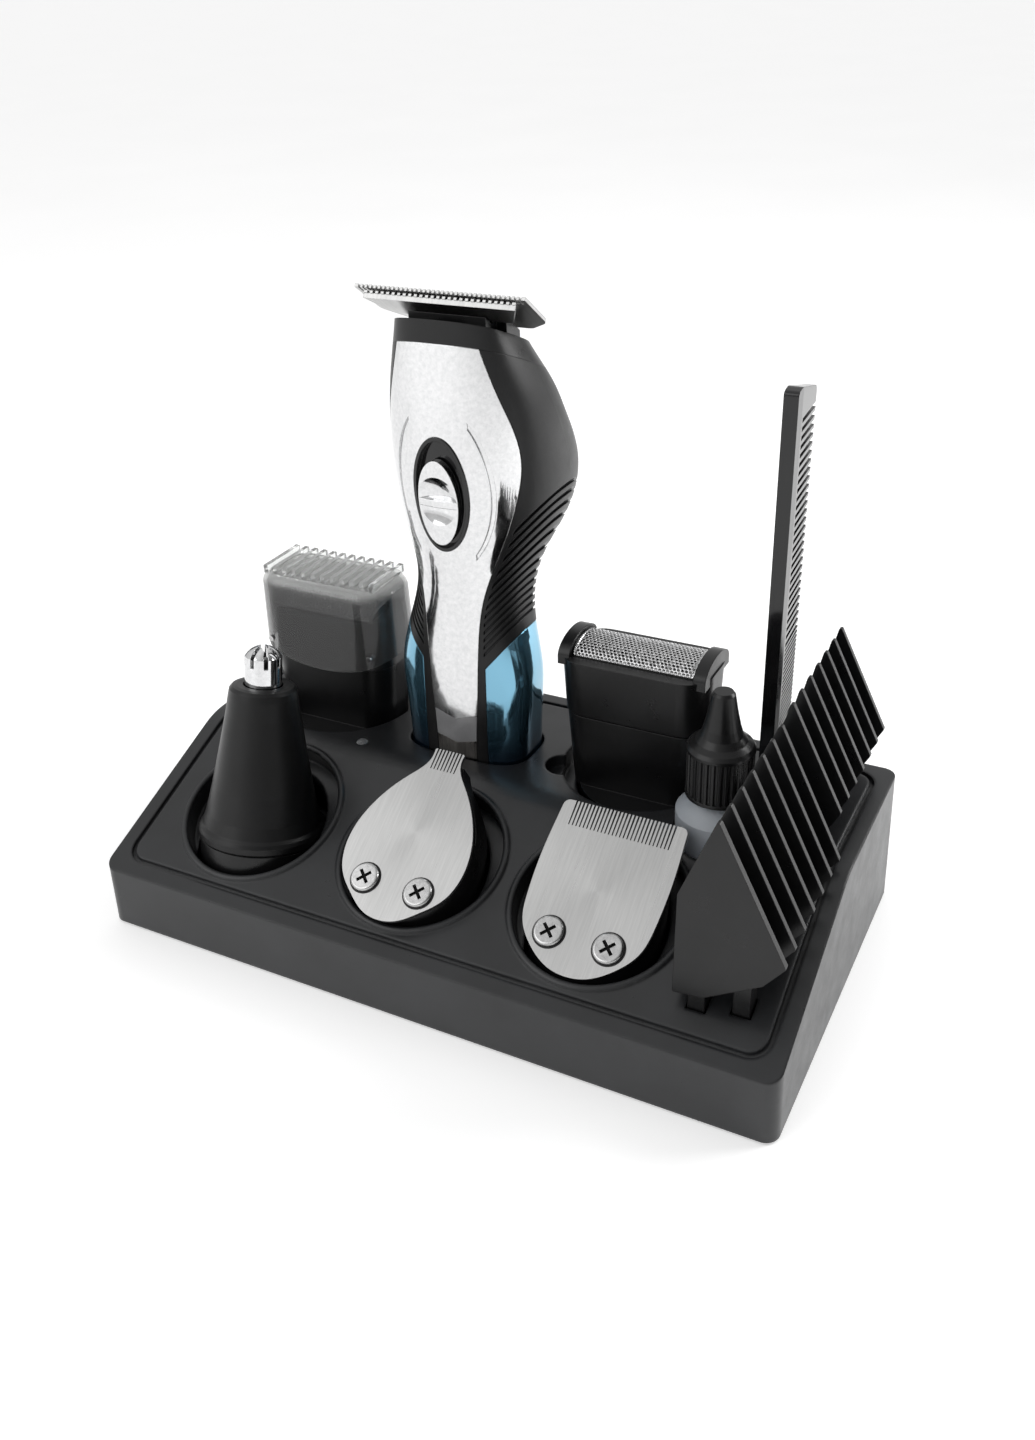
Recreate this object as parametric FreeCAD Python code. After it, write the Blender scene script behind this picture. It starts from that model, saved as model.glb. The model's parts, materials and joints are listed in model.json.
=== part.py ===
"""Cordless beard trimmer docked in its charging stand, with its heads, combs and oil bottle.

Millimetres, +Z up.  The origin is on the surface that the stand rests on, under the middle of the stand.
+X runs to the right along the stand and -Y is its front.
"""
import FreeCAD
import Part
import os
from math import copysign, cos, pi, radians, sin, tan
from FreeCAD import Placement, Rotation
from FreeCAD import Vector as V

# ---------------------------------------------------------------- driving dimensions
# charging stand
STAND_W = 190.0
STAND_D = 102.0
STAND_BOTTOM = 0.8
TIER_H = 39.2
SLOPE_DEG = 22.0
SLOPE_TOP_Y = 1.5
STAND_WALL = 2.2
STAND_DRAFT = 0.026
STAND_CORNER_R = 3.6
BASE_T = 2.0
GROOVE_INSET = 4.0
GROOVE_CORNER_R = 9.5
GROOVE_W = 1.3
GROOVE_DEPTH = 1.0
CUP_WALL = 1.5
# x and y of the feet, of the screws in the bottom plate and of the posts under the charging board
FEET = ((-82, -39), (82, -39), (82, 39), (-82, 39), (0, 0))
BOTTOM_SCREWS = ((-84, 8), (84, 27), (-35, -41), (15, -41), (56, 44), (-44, 45))
BOARD_POSTS = ((-34, 12), (2, 12), (-34, 40), (2, 40))
BOARD_Z = STAND_BOTTOM + BASE_T + 2.0
LENS_X = -44.5
LENS_Y = 5.0
INLET_Z = 12.0

# front sockets and the heads that stand in them
SOCKET_X = (-60.0, -9.5, 40.3)
SOCKET_Y = -22.6
SOCKET_R = 21.5
WELL_R = 17.5
WELL_DEPTH = 17.0
HEAD_LEAN_DEG = 13.0
HEAD_BASE_R = 16.6
HEAD_BASE_DEPTH = 15.5
HEAD_BORE_R = 11.0
HEAD_BORE_DEPTH = 9.0
SEAT_GAP = 0.3
NOSE_TIP_R = 4.9
NOSE_SLOTS = 8

# rear sockets
COVERED_X = -63.0
COVERED_Y = 26.0
FOIL_X = 31.5
FOIL_Y = 25.0
REAR_DISH_R = 21.3
REAR_DISH_DEPTH = 5.5
REAR_WELL_DEPTH = 20.0
OIL_X = 59.6
OIL_Y = 6.0
OIL_R = 10.5
OIL_FLOOR_Z = 16.8
CAP_R = 8.2
CAP_RIBS = 30

# handset
HANDSET_X = -16.2
FOOT_Z = 13.3
COLLAR_FRONT_Z = 156.6
COLLAR_T = 5.5
COLLAR_FRONT_Y = 11.0
COLLAR_SLOPE_DEG = 23.0
SKIN = 1.8
PARTING = 0.12
CORE_Y = 20.8
END_CAP_T = 3.2
RIB_COUNT = 13
RIB_PITCH = 2.05
# the tinted side panels: inner edge from the middle, height of the top edge there and its rise per mm outward
PANEL_X = 9.4
PANEL_TOP_Z = 67.5
PANEL_RISE = 1.2
CONTACT_X = (HANDSET_X - 5.5, HANDSET_X + 5.5)
CONTACT_Y = 20.5
# cross-sections of the handset: height, half width, front y, rear y, squareness
BODY_STATIONS = (
    (12.0, 16.6, 9.6, 30.6, 3.4),
    (26.0, 17.3, 9.5, 31.2, 3.4),
    (40.0, 18.0, 9.5, 31.6, 3.4),
    (56.0, 19.0, 9.9, 31.6, 3.3),
    (69.0, 18.6, 10.3, 31.8, 3.0),
    (79.0, 16.2, 10.6, 35.4, 2.6),
    (88.0, 15.1, 10.6, 43.2, 2.4),
    (97.0, 17.6, 10.2, 54.0, 2.3),
    (106.0, 20.7, 9.8, 60.0, 2.3),
    (115.0, 21.9, 9.3, 59.6, 2.3),
    (124.0, 21.7, 9.2, 54.8, 2.3),
    (134.0, 20.2, 9.8, 48.2, 2.4),
    (143.0, 17.6, 10.4, 40.8, 2.6),
    (150.0, 15.3, 10.8, 35.5, 2.8),
    (157.0, 13.3, 11.0, 31.0, 3.0),
)
# chrome plate: height and half width of its hourglass edge, bottom to top
PLATE_EDGE = (
    (53.0, 6.5), (62.0, 7.0), (76.0, 7.7), (86.0, 8.8), (95.0, 11.4), (104.0, 14.7),
    (112.0, 16.9), (121.0, 18.2), (130.0, 17.3), (138.0, 14.9), (146.0, 12.3), (156.0, 9.6),
)
CHEVRON = 2.2

# slide switch: ovals given by half width and half height
SWITCH_Z = 114.4
BEZEL_A = 7.7
BEZEL_B = 14.8
BUTTON_A = 5.5
BUTTON_B = 11.0
BUTTON_Z = 112.8
SWITCH_TRAVEL = 3.6
SWITCH_BLOCK_Y = 12.25

# inside the handset
RAIL_X = 8.2
RAIL_T = 1.8
PCB_Y = 14.6
HOUSING_SCREW_Z = (73.0, 129.5)
SCREW_BOSS_R = 2.2
SCREW_PAD_DEPTH = 1.3
BATTERY_R = 7.0
BATTERY_Z0 = 21.0
BATTERY_L = 49.5
MOTOR_R = 7.3
MOTOR_Z0 = 108.0
MOTOR_L = 27.0
CAM_R = 3.2
CAM_Z = 140.0
ECCENTRIC = 0.8
PIN_R = 0.7
YOKE_Z1 = 149.4
YOKE_IN = 2.5
YOKE_OUT = 3.6

# steel blades
PLATE_T = 1.0
BLADE_GAP = 0.3
CUTTER_T = 1.0
SCREW_X = 7.7
T_TOOTH_Y = 14.8
T_TOOTH_Z = 162.4
T_SLOPE_DEG = 35.0
T_HALF = 22.6
T_PLATE_T = 0.8
T_CUTTER_T = 0.6
T_BAR_T = 1.2
T_SCREW_V = 12.6
LATCH_X = 9.0
BLADE_TILT_DEG = 45.7
# half outlines of the two standing blades: distance up the plate from its screws, half width
NARROW_HALF = (
    (-8.3, 4.8), (-5.0, 9.6), (0.0, 14.6), (6.5, 16.9), (13.5, 16.6), (21.5, 13.7),
    (29.5, 8.2), (34.5, 4.6), (38.4, 4.3),
)
WIDE_HALF = ((-8.3, 5.0), (-4.6, 10.8), (1.0, 15.2), (8.0, 16.6), (21.0, 17.0), (33.9, 16.4))

# foil shaver heads
FOIL_W = 40.5
COVER_TOP_Z = 81.5

# barber comb and guide combs
COMB_X = 64.5
COMB_T = 3.5
COMB_Z0 = 24.0
COMB_Z1 = 144.0
COMB_SLOT = (COMB_X - COMB_T / 2 - 0.5, COMB_X + COMB_T / 2 + 0.5, 26.0, 46.4)
FIN_PITCH = 7.0
FIN_T = 1.3
FIN_COUNT = 7
# footprints of the guide combs' locating posts: x0, x1, y0, y1
FRONT_POSTS = ((69.5, 73.5, -39.6, -35.4), (79.5, 83.5, -38.0, -33.5))
REAR_POSTS = ((71.0, 75.0, 12.0, 16.0), (71.0, 75.0, 40.0, 44.0))
POST_CLEAR = 0.45
POST_DEPTH = 9.0

X_AXIS = V(1, 0, 0)
Y_AXIS = V(0, 1, 0)
Z_AXIS = V(0, 0, 1)
slope_rad = radians(SLOPE_DEG)
lean_rad = radians(HEAD_LEAN_DEG)
t_rad = radians(T_SLOPE_DEG)
collar_rad = radians(COLLAR_SLOPE_DEG)
SLOPE_NORMAL = V(0, -sin(slope_rad), cos(slope_rad))
LEAN_AXIS = V(0, sin(lean_rad), cos(lean_rad))
T_DOWN = V(0, cos(t_rad), -sin(t_rad))
T_OUT = V(0, sin(t_rad), cos(t_rad))
T_ORIGIN = V(HANDSET_X, T_TOOTH_Y, T_TOOTH_Z)

nodes = {}


# ---------------------------------------------------------------- shape helpers
def box(x0, x1, y0, y1, z0, z1):
    return Part.makeBox(x1 - x0, y1 - y0, z1 - z0, V(x0, y0, z0))


def rod(base, r, length, axis=Z_AXIS):
    return Part.makeCylinder(r, length, base, axis)


def tube(base, r_out, r_in, length, axis=Z_AXIS):
    return rod(base, r_out, length, axis).cut(rod(base, r_in, length, axis))


def join(shapes):
    shapes = list(shapes)
    if len(shapes) == 1:
        return shapes[0]
    return shapes[0].fuse(shapes[1:]).removeSplitter()


def placed(shape, origin, x_dir, z_dir):
    """Carries a shape from its own frame to one with the given origin, X and Z directions."""
    out = shape.copy()
    turn = Rotation(x_dir, z_dir.cross(x_dir), z_dir, "XYZ")
    out.Placement = Placement(origin, turn).multiply(out.Placement)
    return out


def rounded_outline(points, radii, lift):
    """A closed wire through 2-D points with its corners rounded; lift carries a 2-D point into space."""
    n = len(points)
    if not isinstance(radii, (list, tuple)):
        radii = [radii] * n
    ends = []
    for i in range(n):
        p = V(points[i][0], points[i][1], 0)
        a = V(points[i - 1][0], points[i - 1][1], 0).sub(p)
        b = V(points[(i + 1) % n][0], points[(i + 1) % n][1], 0).sub(p)
        if radii[i] <= 0:
            ends.append((p, p, p))
            continue
        half = a.getAngle(b) / 2
        step = min(radii[i] / tan(half), 0.48 * min(a.Length, b.Length))
        r = step * tan(half)
        a.normalize()
        b.normalize()
        middle = a.add(b).normalize()
        ends.append((p + a * step, p + middle * (r / sin(half) - r), p + b * step))
    edges = []
    for i in range(n):
        first, mid, last = (lift(q.x, q.y) for q in ends[i])
        if first.distanceToPoint(last) > 1e-6:
            edges.append(Part.Arc(first, mid, last).toShape())
        nxt = lift(ends[(i + 1) % n][0].x, ends[(i + 1) % n][0].y)
        if last.distanceToPoint(nxt) > 1e-6:
            edges.append(Part.LineSegment(last, nxt).toShape())
    return Part.Wire(edges)


def slab(points, radii, lift, thickness):
    """A rounded outline given a thickness vector."""
    return Part.Face(rounded_outline(points, radii, lift)).extrude(thickness)


def on_xy(z):
    return lambda a, b: V(a, b, z)


def on_xz(y):
    return lambda a, b: V(a, y, b)


def on_yz(x):
    return lambda a, b: V(x, a, b)


def rectangle(cx, cy, w, d):
    a = w / 2
    b = d / 2
    return [(cx - a, cy - b), (cx + a, cy - b), (cx + a, cy + b), (cx - a, cy + b)]


def drafted_block(cx, cy, w, d, r, z0, z1, draft=0.0, inset=0.0):
    """A rounded block whose walls lean in by the draft with height."""
    wires = []
    for z in (z0, z1):
        shrink = 2 * (inset + draft * z)
        corner = max(0.4, r - inset)
        wires.append(rounded_outline(rectangle(cx, cy, w - shrink, d - shrink), corner, on_xy(z)))
    return Part.makeLoft(wires, True, True)


def ellipse_prism(cx, cz, a, b, y0, y1):
    """An upright oval standing along Y."""
    edge = Part.Ellipse(V(cx, y0, cz + b), V(cx + a, y0, cz), V(cx, y0, cz)).toShape()
    return Part.Face(Part.Wire([edge])).extrude(V(0, y1 - y0, 0))


def phillips_screw(r_head, head_t, r_shank, length):
    """A pan-head screw pointing down -Z, the underside of its head at z = 0."""
    head = Part.makeCylinder(r_head, head_t)
    rim = [e for e in head.Edges if abs(e.BoundBox.ZMin - head_t) < 1e-6 and e.BoundBox.ZLength < 1e-6]
    head = head.makeFillet(head_t * 0.55, rim)
    for angle in (45, 135):
        arm = box(-r_head * 0.55, r_head * 0.55, -r_head * 0.11, r_head * 0.11, head_t * 0.35, head_t + 1)
        arm.rotate(V(0, 0, 0), Z_AXIS, angle)
        head = head.cut(arm)
    return head.fuse(Part.makeCylinder(r_shank, length, V(0, 0, -length))).removeSplitter()


def turned(profile):
    """A solid turned round +Z from its (radius, height) outline."""
    wire = Part.makePolygon([V(r, 0, z) for r, z in profile + profile[:1]])
    return Part.Face(wire).revolve(V(0, 0, 0), Z_AXIS, 360)


def slope_z(y):
    """Height of the sloping deck at a given y."""
    return min(TIER_H, TIER_H - (SLOPE_TOP_Y - y) * tan(slope_rad))


# ---------------------------------------------------------------- charging stand
def stand_profile(drop, z0):
    """Side outline of the stand, lowered by drop on its upper faces."""
    y0 = -STAND_D / 2 - 1
    y1 = STAND_D / 2 + 1
    d = drop / cos(slope_rad)
    bend_y = SLOPE_TOP_Y + drop * tan(slope_rad / 2)
    points = [(y0, z0), (y0, slope_z(y0) - d), (bend_y, TIER_H - drop), (y1, TIER_H - drop), (y1, z0)]
    face = Part.Face(rounded_outline(points, [0, 0, 22.0, 0, 0], on_yz(-STAND_W / 2 - 1)))
    return face.extrude(V(STAND_W + 2, 0, 0))


def stand_prism(inset, z0=STAND_BOTTOM, z1=TIER_H + 4):
    return drafted_block(0, 0, STAND_W, STAND_D, STAND_CORNER_R, z0, z1, STAND_DRAFT, inset)


def groove_block(inset, z0):
    return drafted_block(0, 0, STAND_W, STAND_D, GROOVE_CORNER_R, z0, TIER_H + 4, STAND_DRAFT, inset)


def socket_centre(x):
    return V(x, SOCKET_Y, slope_z(SOCKET_Y))


def body_section(z, grow):
    """Egg-shaped cross-section of the handset at height z."""
    half_w, front, rear, power = body_station(z)
    cy = (front + rear) / 2
    a = half_w + grow
    b = (rear - front) / 2 + grow
    points = []
    count = 28
    for i in range(count):
        t = 2 * pi * (i + 0.5) / count
        across = a * copysign(abs(cos(t)) ** (2 / power), cos(t))
        along = b * copysign(abs(sin(t)) ** (2 / power), sin(t))
        points.append(V(HANDSET_X + across, cy + along, z))
    curve = Part.BSplineCurve()
    curve.interpolate(points, PeriodicFlag=True)
    return Part.Wire([curve.toShape()])


def body_station(z):
    for low, high in zip(BODY_STATIONS, BODY_STATIONS[1:]):
        if low[0] - 1e-9 <= z <= high[0] + 1e-9:
            f = (z - low[0]) / (high[0] - low[0])
            return [low[i] + f * (high[i] - low[i]) for i in range(1, 5)]
    return BODY_STATIONS[-1][1:]


def body_solid(grow, z0=None, z1=None):
    """The handset's outside, grown by an amount and cut to a height range."""
    loft = Part.makeLoft([body_section(s[0], grow) for s in BODY_STATIONS], True, False)
    if z0 is None:
        return loft
    return loft.common(box(HANDSET_X - 40, HANDSET_X + 40, -10, 80, z0, z1))


def pocket_block(grow, z0, z1):
    """Straight-walled block round the handset's foot."""
    wires = [body_section(z, grow) for z in (12.0, 26.0, 40.0)]
    loft = Part.makeLoft(wires, True, False)
    foot = loft.common(box(HANDSET_X - 40, HANDSET_X + 40, -10, 80, max(z0, 12.0), min(z1, 40.0)))
    if z0 < 12.0:
        foot = foot.fuse(Part.Face(body_section(12.0, grow)).extrude(V(0, 0, z0 - 12.0)))
    if z1 > 40.0:
        foot = foot.fuse(Part.Face(body_section(40.0, grow)).extrude(V(0, 0, z1 - 40.0)))
    return foot


def round_sockets():
    """Cups, lips and wells of the five round sockets that hold the spare heads."""
    cups = []
    lips = []
    wells = []
    for x in SOCKET_X:
        c = socket_centre(x)
        dish_floor = c - SLOPE_NORMAL * 5.0
        well_floor = c - LEAN_AXIS * WELL_DEPTH
        cups.append(rod(c - SLOPE_NORMAL * 6.5, SOCKET_R + CUP_WALL, 6.4, SLOPE_NORMAL))
        cups.append(rod(well_floor - LEAN_AXIS * CUP_WALL, WELL_R + CUP_WALL, WELL_DEPTH - 2.5, LEAN_AXIS))
        lips.append(Part.makeTorus(SOCKET_R + 0.8, 0.9, c, SLOPE_NORMAL))
        wells.append(rod(dish_floor, SOCKET_R, 12, SLOPE_NORMAL))
        wells.append(rod(well_floor, WELL_R, WELL_DEPTH + 25, LEAN_AXIS))
    floor_z = TIER_H - REAR_WELL_DEPTH
    dish_z = TIER_H - REAR_DISH_DEPTH
    for x, y in ((COVERED_X, COVERED_Y), (FOIL_X, FOIL_Y)):
        cups.append(rod(V(x, y, dish_z - CUP_WALL), REAR_DISH_R + CUP_WALL, REAR_DISH_DEPTH + CUP_WALL - 0.3))
        cups.append(rod(V(x, y, floor_z - CUP_WALL), WELL_R + CUP_WALL, REAR_WELL_DEPTH - 2))
        wells.append(rod(V(x, y, dish_z), REAR_DISH_R, 12))
        wells.append(rod(V(x, y, floor_z), WELL_R, 40))
    return cups, lips, wells


def shaped_sockets():
    """Cups and wells of the finger notch, the oil bottle, the handset and the combs."""
    cups = []
    wells = []
    notch = V(FOIL_X - REAR_DISH_R + 2, FOIL_Y - 8, TIER_H)
    cups.append(rod(notch - Z_AXIS * 5.0, 6.5, 4.8))
    wells.append(rod(notch - Z_AXIS * 3.5, 5.0, 12))
    cups.append(rod(V(OIL_X, OIL_Y, OIL_FLOOR_Z - CUP_WALL), OIL_R + 2.0, TIER_H - OIL_FLOOR_Z))
    wells.append(rod(V(OIL_X, OIL_Y, OIL_FLOOR_Z), OIL_R + 0.5, 40))
    cups.append(pocket_block(2.2, FOOT_Z - 2.2, TIER_H - 0.5))
    wells.append(pocket_block(0.6, FOOT_Z - 0.4, TIER_H + 6))
    x0, x1, y0, y1 = COMB_SLOT
    cups.append(box(x0 - 1.3, x1 + 1.3, y0 - 1.3, y1 + 1.3, COMB_Z0 - 2, TIER_H - 1))
    wells.append(box(x0, x1, y0, y1, COMB_Z0 - 0.5, TIER_H + 5))
    for x0, x1, y0, y1 in FRONT_POSTS + REAR_POSTS:
        z = slope_z(y0)
        floor_z = max(z - POST_DEPTH - 1.0, 5.5)
        c = POST_CLEAR
        wall = c + 1.2
        cups.append(box(x0 - wall, x1 + wall, y0 - wall, y1 + wall, floor_z - 1.2, z - 1.0))
        wells.append(box(x0 - c, x1 + c, y0 - c, y1 + c, floor_z, z + 8))
    return cups, wells


def stand_shell():
    outer = stand_profile(0, STAND_BOTTOM).common(stand_prism(0))
    inner = stand_profile(STAND_WALL, 0).common(stand_prism(STAND_WALL, 0))
    round_cups, lips, round_wells = round_sockets()
    shaped_cups, shaped_wells = shaped_sockets()
    shell = outer.cut(inner)
    shell = shell.fuse([cup.common(outer) for cup in round_cups + shaped_cups] + lips)
    shell = shell.cut(Part.makeCompound(round_wells + shaped_wells))
    # contact holes in the cradle floor, the indicator hole and the inlet hole
    for x in CONTACT_X:
        shell = shell.cut(rod(V(x, CONTACT_Y, 5), 1.5, 12))
    shell = shell.cut(rod(V(LENS_X, LENS_Y, TIER_H - 6), 1.55, 10))
    shell = shell.cut(rod(V(HANDSET_X, 40, INLET_Z), 4.15, 20, Y_AXIS))
    # the decorative groove just inside the edge
    skin = stand_profile(-2, 0).cut(stand_profile(GROOVE_DEPTH, 0))
    ring = groove_block(GROOVE_INSET, 2).cut(groove_block(GROOVE_INSET + GROOVE_W, 1))
    shell = shell.cut(skin.common(ring))
    # bosses for the screws that hold the bottom plate
    boss_z = STAND_BOTTOM + BASE_T
    for x, y in BOTTOM_SCREWS:
        shell = shell.fuse(rod(V(x, y, boss_z), 3.2, slope_z(y) - 1.5 - boss_z))
        shell = shell.cut(rod(V(x, y, 0), 1.25, 10))
    nodes["stand_top_shell"] = [shell.removeSplitter()]


def stand_base():
    seat_z = STAND_BOTTOM + 1.0
    plate = drafted_block(0, 0, STAND_W, STAND_D, STAND_CORNER_R, STAND_BOTTOM, STAND_BOTTOM + BASE_T,
                          STAND_DRAFT, STAND_WALL + 0.15)
    for x, y in FEET:
        plate = plate.cut(rod(V(x, y, 0), 5.2, seat_z))
    for x, y in BOTTOM_SCREWS:
        plate = plate.cut(rod(V(x, y, 0), 1.6, 5))
        plate = plate.cut(rod(V(x, y, 0), 2.6, seat_z))
    for x, y in BOARD_POSTS:
        plate = plate.fuse(rod(V(x, y, STAND_BOTTOM + BASE_T - 0.2), 2.0, 2.2))
    nodes["stand_bottom_plate"] = [plate.removeSplitter()]
    nodes["rubber_feet"] = [rod(V(x, y, 0), 5.0, seat_z) for x, y in FEET]
    screw = phillips_screw(2.4, 0.95, 1.2, 7.0)
    nodes["stand_bottom_screws"] = [placed(screw, V(x, y, seat_z), X_AXIS, -Z_AXIS) for x, y in BOTTOM_SCREWS]


def indicator_lens():
    """A light guide with a low dome that stands just proud of the deck."""
    guide = rod(V(LENS_X, LENS_Y, TIER_H - 5), 1.5, 5.0)
    above = box(LENS_X - 3, LENS_X + 3, LENS_Y - 3, LENS_Y + 3, TIER_H, TIER_H + 3)
    dome = Part.makeSphere(2.1, V(LENS_X, LENS_Y, TIER_H - 1.3)).common(above)
    nodes["charge_indicator_lens"] = [guide.fuse(dome).removeSplitter()]


def stand_electrics():
    top = BOARD_Z + 1.4
    board = [box(-38, 6, 9, 43, BOARD_Z, top)]
    board += [box(-33, -27, 20, 30, top, top + 2), box(-4, 2, 18, 24, top, top + 2)]
    nodes["charging_board"] = [join(board)]
    pins = []
    for x in CONTACT_X:
        barrel = rod(V(x, CONTACT_Y, top), 1.9, 3.2)
        plunger = rod(V(x, CONTACT_Y, BOARD_Z + 4.0), 1.2, 10.2 - BOARD_Z)
        tip = Part.makeSphere(1.2, V(x, CONTACT_Y, 14.2))
        pins.append(join([barrel, plunger, tip]))
    nodes["charging_pins"] = pins
    jack = box(HANDSET_X - 4.5, HANDSET_X + 4.5, 36.5, 48.0, top, INLET_Z + 5)
    jack = jack.fuse(rod(V(HANDSET_X, 47.9, INLET_Z), 4.0, 2.5, Y_AXIS))
    jack = jack.cut(rod(V(HANDSET_X, 40.0, INLET_Z), 2.75, 12, Y_AXIS))
    jack = jack.fuse(rod(V(HANDSET_X, 39.5, INLET_Z), 0.95, 9.5, Y_AXIS))
    nodes["dc_inlet"] = [jack.removeSplitter()]


# ---------------------------------------------------------------- handset
def collar_plane_block(drop, height):
    """A thick slanted slab whose lower face is the top of the handset, lowered by drop."""
    y0 = -20.0
    y1 = 90.0
    z = [COLLAR_FRONT_Z - drop - (y - COLLAR_FRONT_Y) * tan(collar_rad) for y in (y0, y1)]
    points = [(y0, z[0]), (y1, z[1]), (y1, z[1] + height), (y0, z[0] + height)]
    wire = Part.makePolygon([V(HANDSET_X - 40, a, b) for a, b in points + points[:1]])
    return Part.Face(wire).extrude(V(80, 0, 0))


def front_outline(half_widths, grow, low_v):
    """Hourglass outline, seen from the front, with a V-shaped lower end."""
    right = [V(HANDSET_X + w + grow, 0, z) for z, w in half_widths]
    left = [V(HANDSET_X - w - grow, 0, z) for z, w in reversed(half_widths)]
    rail_r = Part.BSplineCurve()
    rail_r.interpolate(right)
    rail_l = Part.BSplineCurve()
    rail_l.interpolate(left)
    tip = V(HANDSET_X, 0, half_widths[0][0] - low_v)
    edges = [rail_r.toShape(), Part.makeLine(right[-1], left[0]), rail_l.toShape()]
    edges += [Part.makeLine(left[-1], tip), Part.makeLine(tip, right[0])]
    return Part.Face(Part.Wire(edges))


def front_prism(half_widths, grow, low_v, depth):
    return front_outline(half_widths, grow, low_v).extrude(V(0, depth, 0))


def trim_strip(grow):
    """The narrow strip under the chrome plate: half width against height."""
    return front_prism(((10.0, 5.6 + grow), (30.0, 5.7 + grow), (46.5, 6.1 + grow)), 0, 0, 14)


def side_wedge(side, inner, low, high, rise):
    """A block on one side of the handset from x = inner outward; its lower and upper edges rise outward."""
    outer = 30.0
    reach = outer - inner
    points = [(inner, low[0]), (outer, low[0] + low[1] * reach), (outer, high + rise * reach), (inner, high)]
    wire = Part.makePolygon([V(HANDSET_X + side * a, 5.0, b) for a, b in points + points[:1]])
    return Part.Face(wire).extrude(V(0, 60.0, 0))


def window_prism(side, grow):
    """Side region of a tinted panel, from the edge by the black strip round to the rear."""
    return side_wedge(side, PANEL_X - grow, (10.0, 0.0), PANEL_TOP_Z + 0.5 * grow, PANEL_RISE)


def grip_grooves(full):
    """Shallow slanting grooves round the sides that leave raised ribs between them."""
    shallow = full.cut(body_solid(-0.5))
    slabs = []
    for i in range(RIB_COUNT):
        z = PANEL_TOP_Z + 3.4 + RIB_PITCH * i
        for side in (-1, 1):
            slabs.append(side_wedge(side, PANEL_X - 0.4, (z, PANEL_RISE), z + 0.9, PANEL_RISE))
    off_plate = front_prism(PLATE_EDGE, 1.0, CHEVRON, 24)
    return shallow.common(Part.makeCompound(slabs)).cut(off_plate)


def handset_shells():
    full = body_solid(0)
    hollow = body_solid(-SKIN)
    cap_top = FOOT_Z + END_CAP_T
    between = box(HANDSET_X - 40, HANDSET_X + 40, -10, 90, cap_top, 170)
    sleeve = full.cut(hollow).cut(collar_plane_block(COLLAR_T, 90)).common(between)

    chrome_hole = front_prism(PLATE_EDGE, PARTING, CHEVRON, 24)
    trim_hole = trim_strip(PARTING)
    status_edge = ((44.0, 6.0 + PARTING), (49.0, 6.2 + PARTING), (53.0, 6.5 + PARTING))
    rear = sleeve.cut(chrome_hole).cut(trim_hole).cut(front_prism(status_edge, 0, 0, 14))
    for side in (-1, 1):
        rear = rear.cut(window_prism(side, PARTING))
    rear = rear.cut(grip_grooves(full))
    # counterbored pads for the two rear screws
    for z in HOUSING_SCREW_Z:
        seat = screw_seat_y(z)
        pad = rod(V(HANDSET_X, seat - SCREW_PAD_DEPTH, z), 3.4, 3.3, Y_AXIS).common(full)
        rear = rear.fuse(pad).cut(rod(V(HANDSET_X, seat, z), 2.1, 12, Y_AXIS))
        rear = rear.cut(rod(V(HANDSET_X, seat - 8, z), 1.02, 10, Y_AXIS))
    nodes["rear_housing"] = [rear]

    switch_gap = ellipse_prism(HANDSET_X, SWITCH_Z, BEZEL_A + 0.05, BEZEL_B + 0.05, -5, 24)
    plate = sleeve.common(front_prism(PLATE_EDGE, 0, CHEVRON, 24)).cut(switch_gap)
    nodes["front_trim_plate"] = [plate.cut(plate_flutes(full))]
    status = front_prism(((45.2, 6.05), (49.0, 6.2), (52.7, 6.4)), 0, 1.6, 14)
    window = sleeve.common(status).cut(chrome_hole)
    nodes["status_window"] = [window]
    nodes["lower_trim"] = [sleeve.common(trim_strip(0)).cut(chrome_hole).cut(window)]
    for side, name in ((-1, "left_side_window"), (1, "right_side_window")):
        nodes[name] = [sleeve.common(window_prism(side, 0)).cut(chrome_hole).cut(trim_hole)]

    slide_switch(hollow)
    handset_ends(full)


def plate_flutes(full):
    """Two shallow crescents pressed into the chrome plate beside the switch."""
    skin = full.cut(body_solid(-0.4))
    a = 13.6
    b = 22.0
    flutes = []
    for side in (-1, 1):
        outer = ellipse_prism(HANDSET_X, SWITCH_Z + 1.0, a, b, -5, 24)
        inner = ellipse_prism(HANDSET_X - side * 1.1, SWITCH_Z + 1.0, a, b, -5, 24)
        beside = sorted((HANDSET_X + side * 8.0, HANDSET_X + side * 20.0))
        flutes.append(outer.cut(inner).common(box(*beside, -5, 24, 90, 140)))
    return skin.common(Part.makeCompound(flutes))


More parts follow.
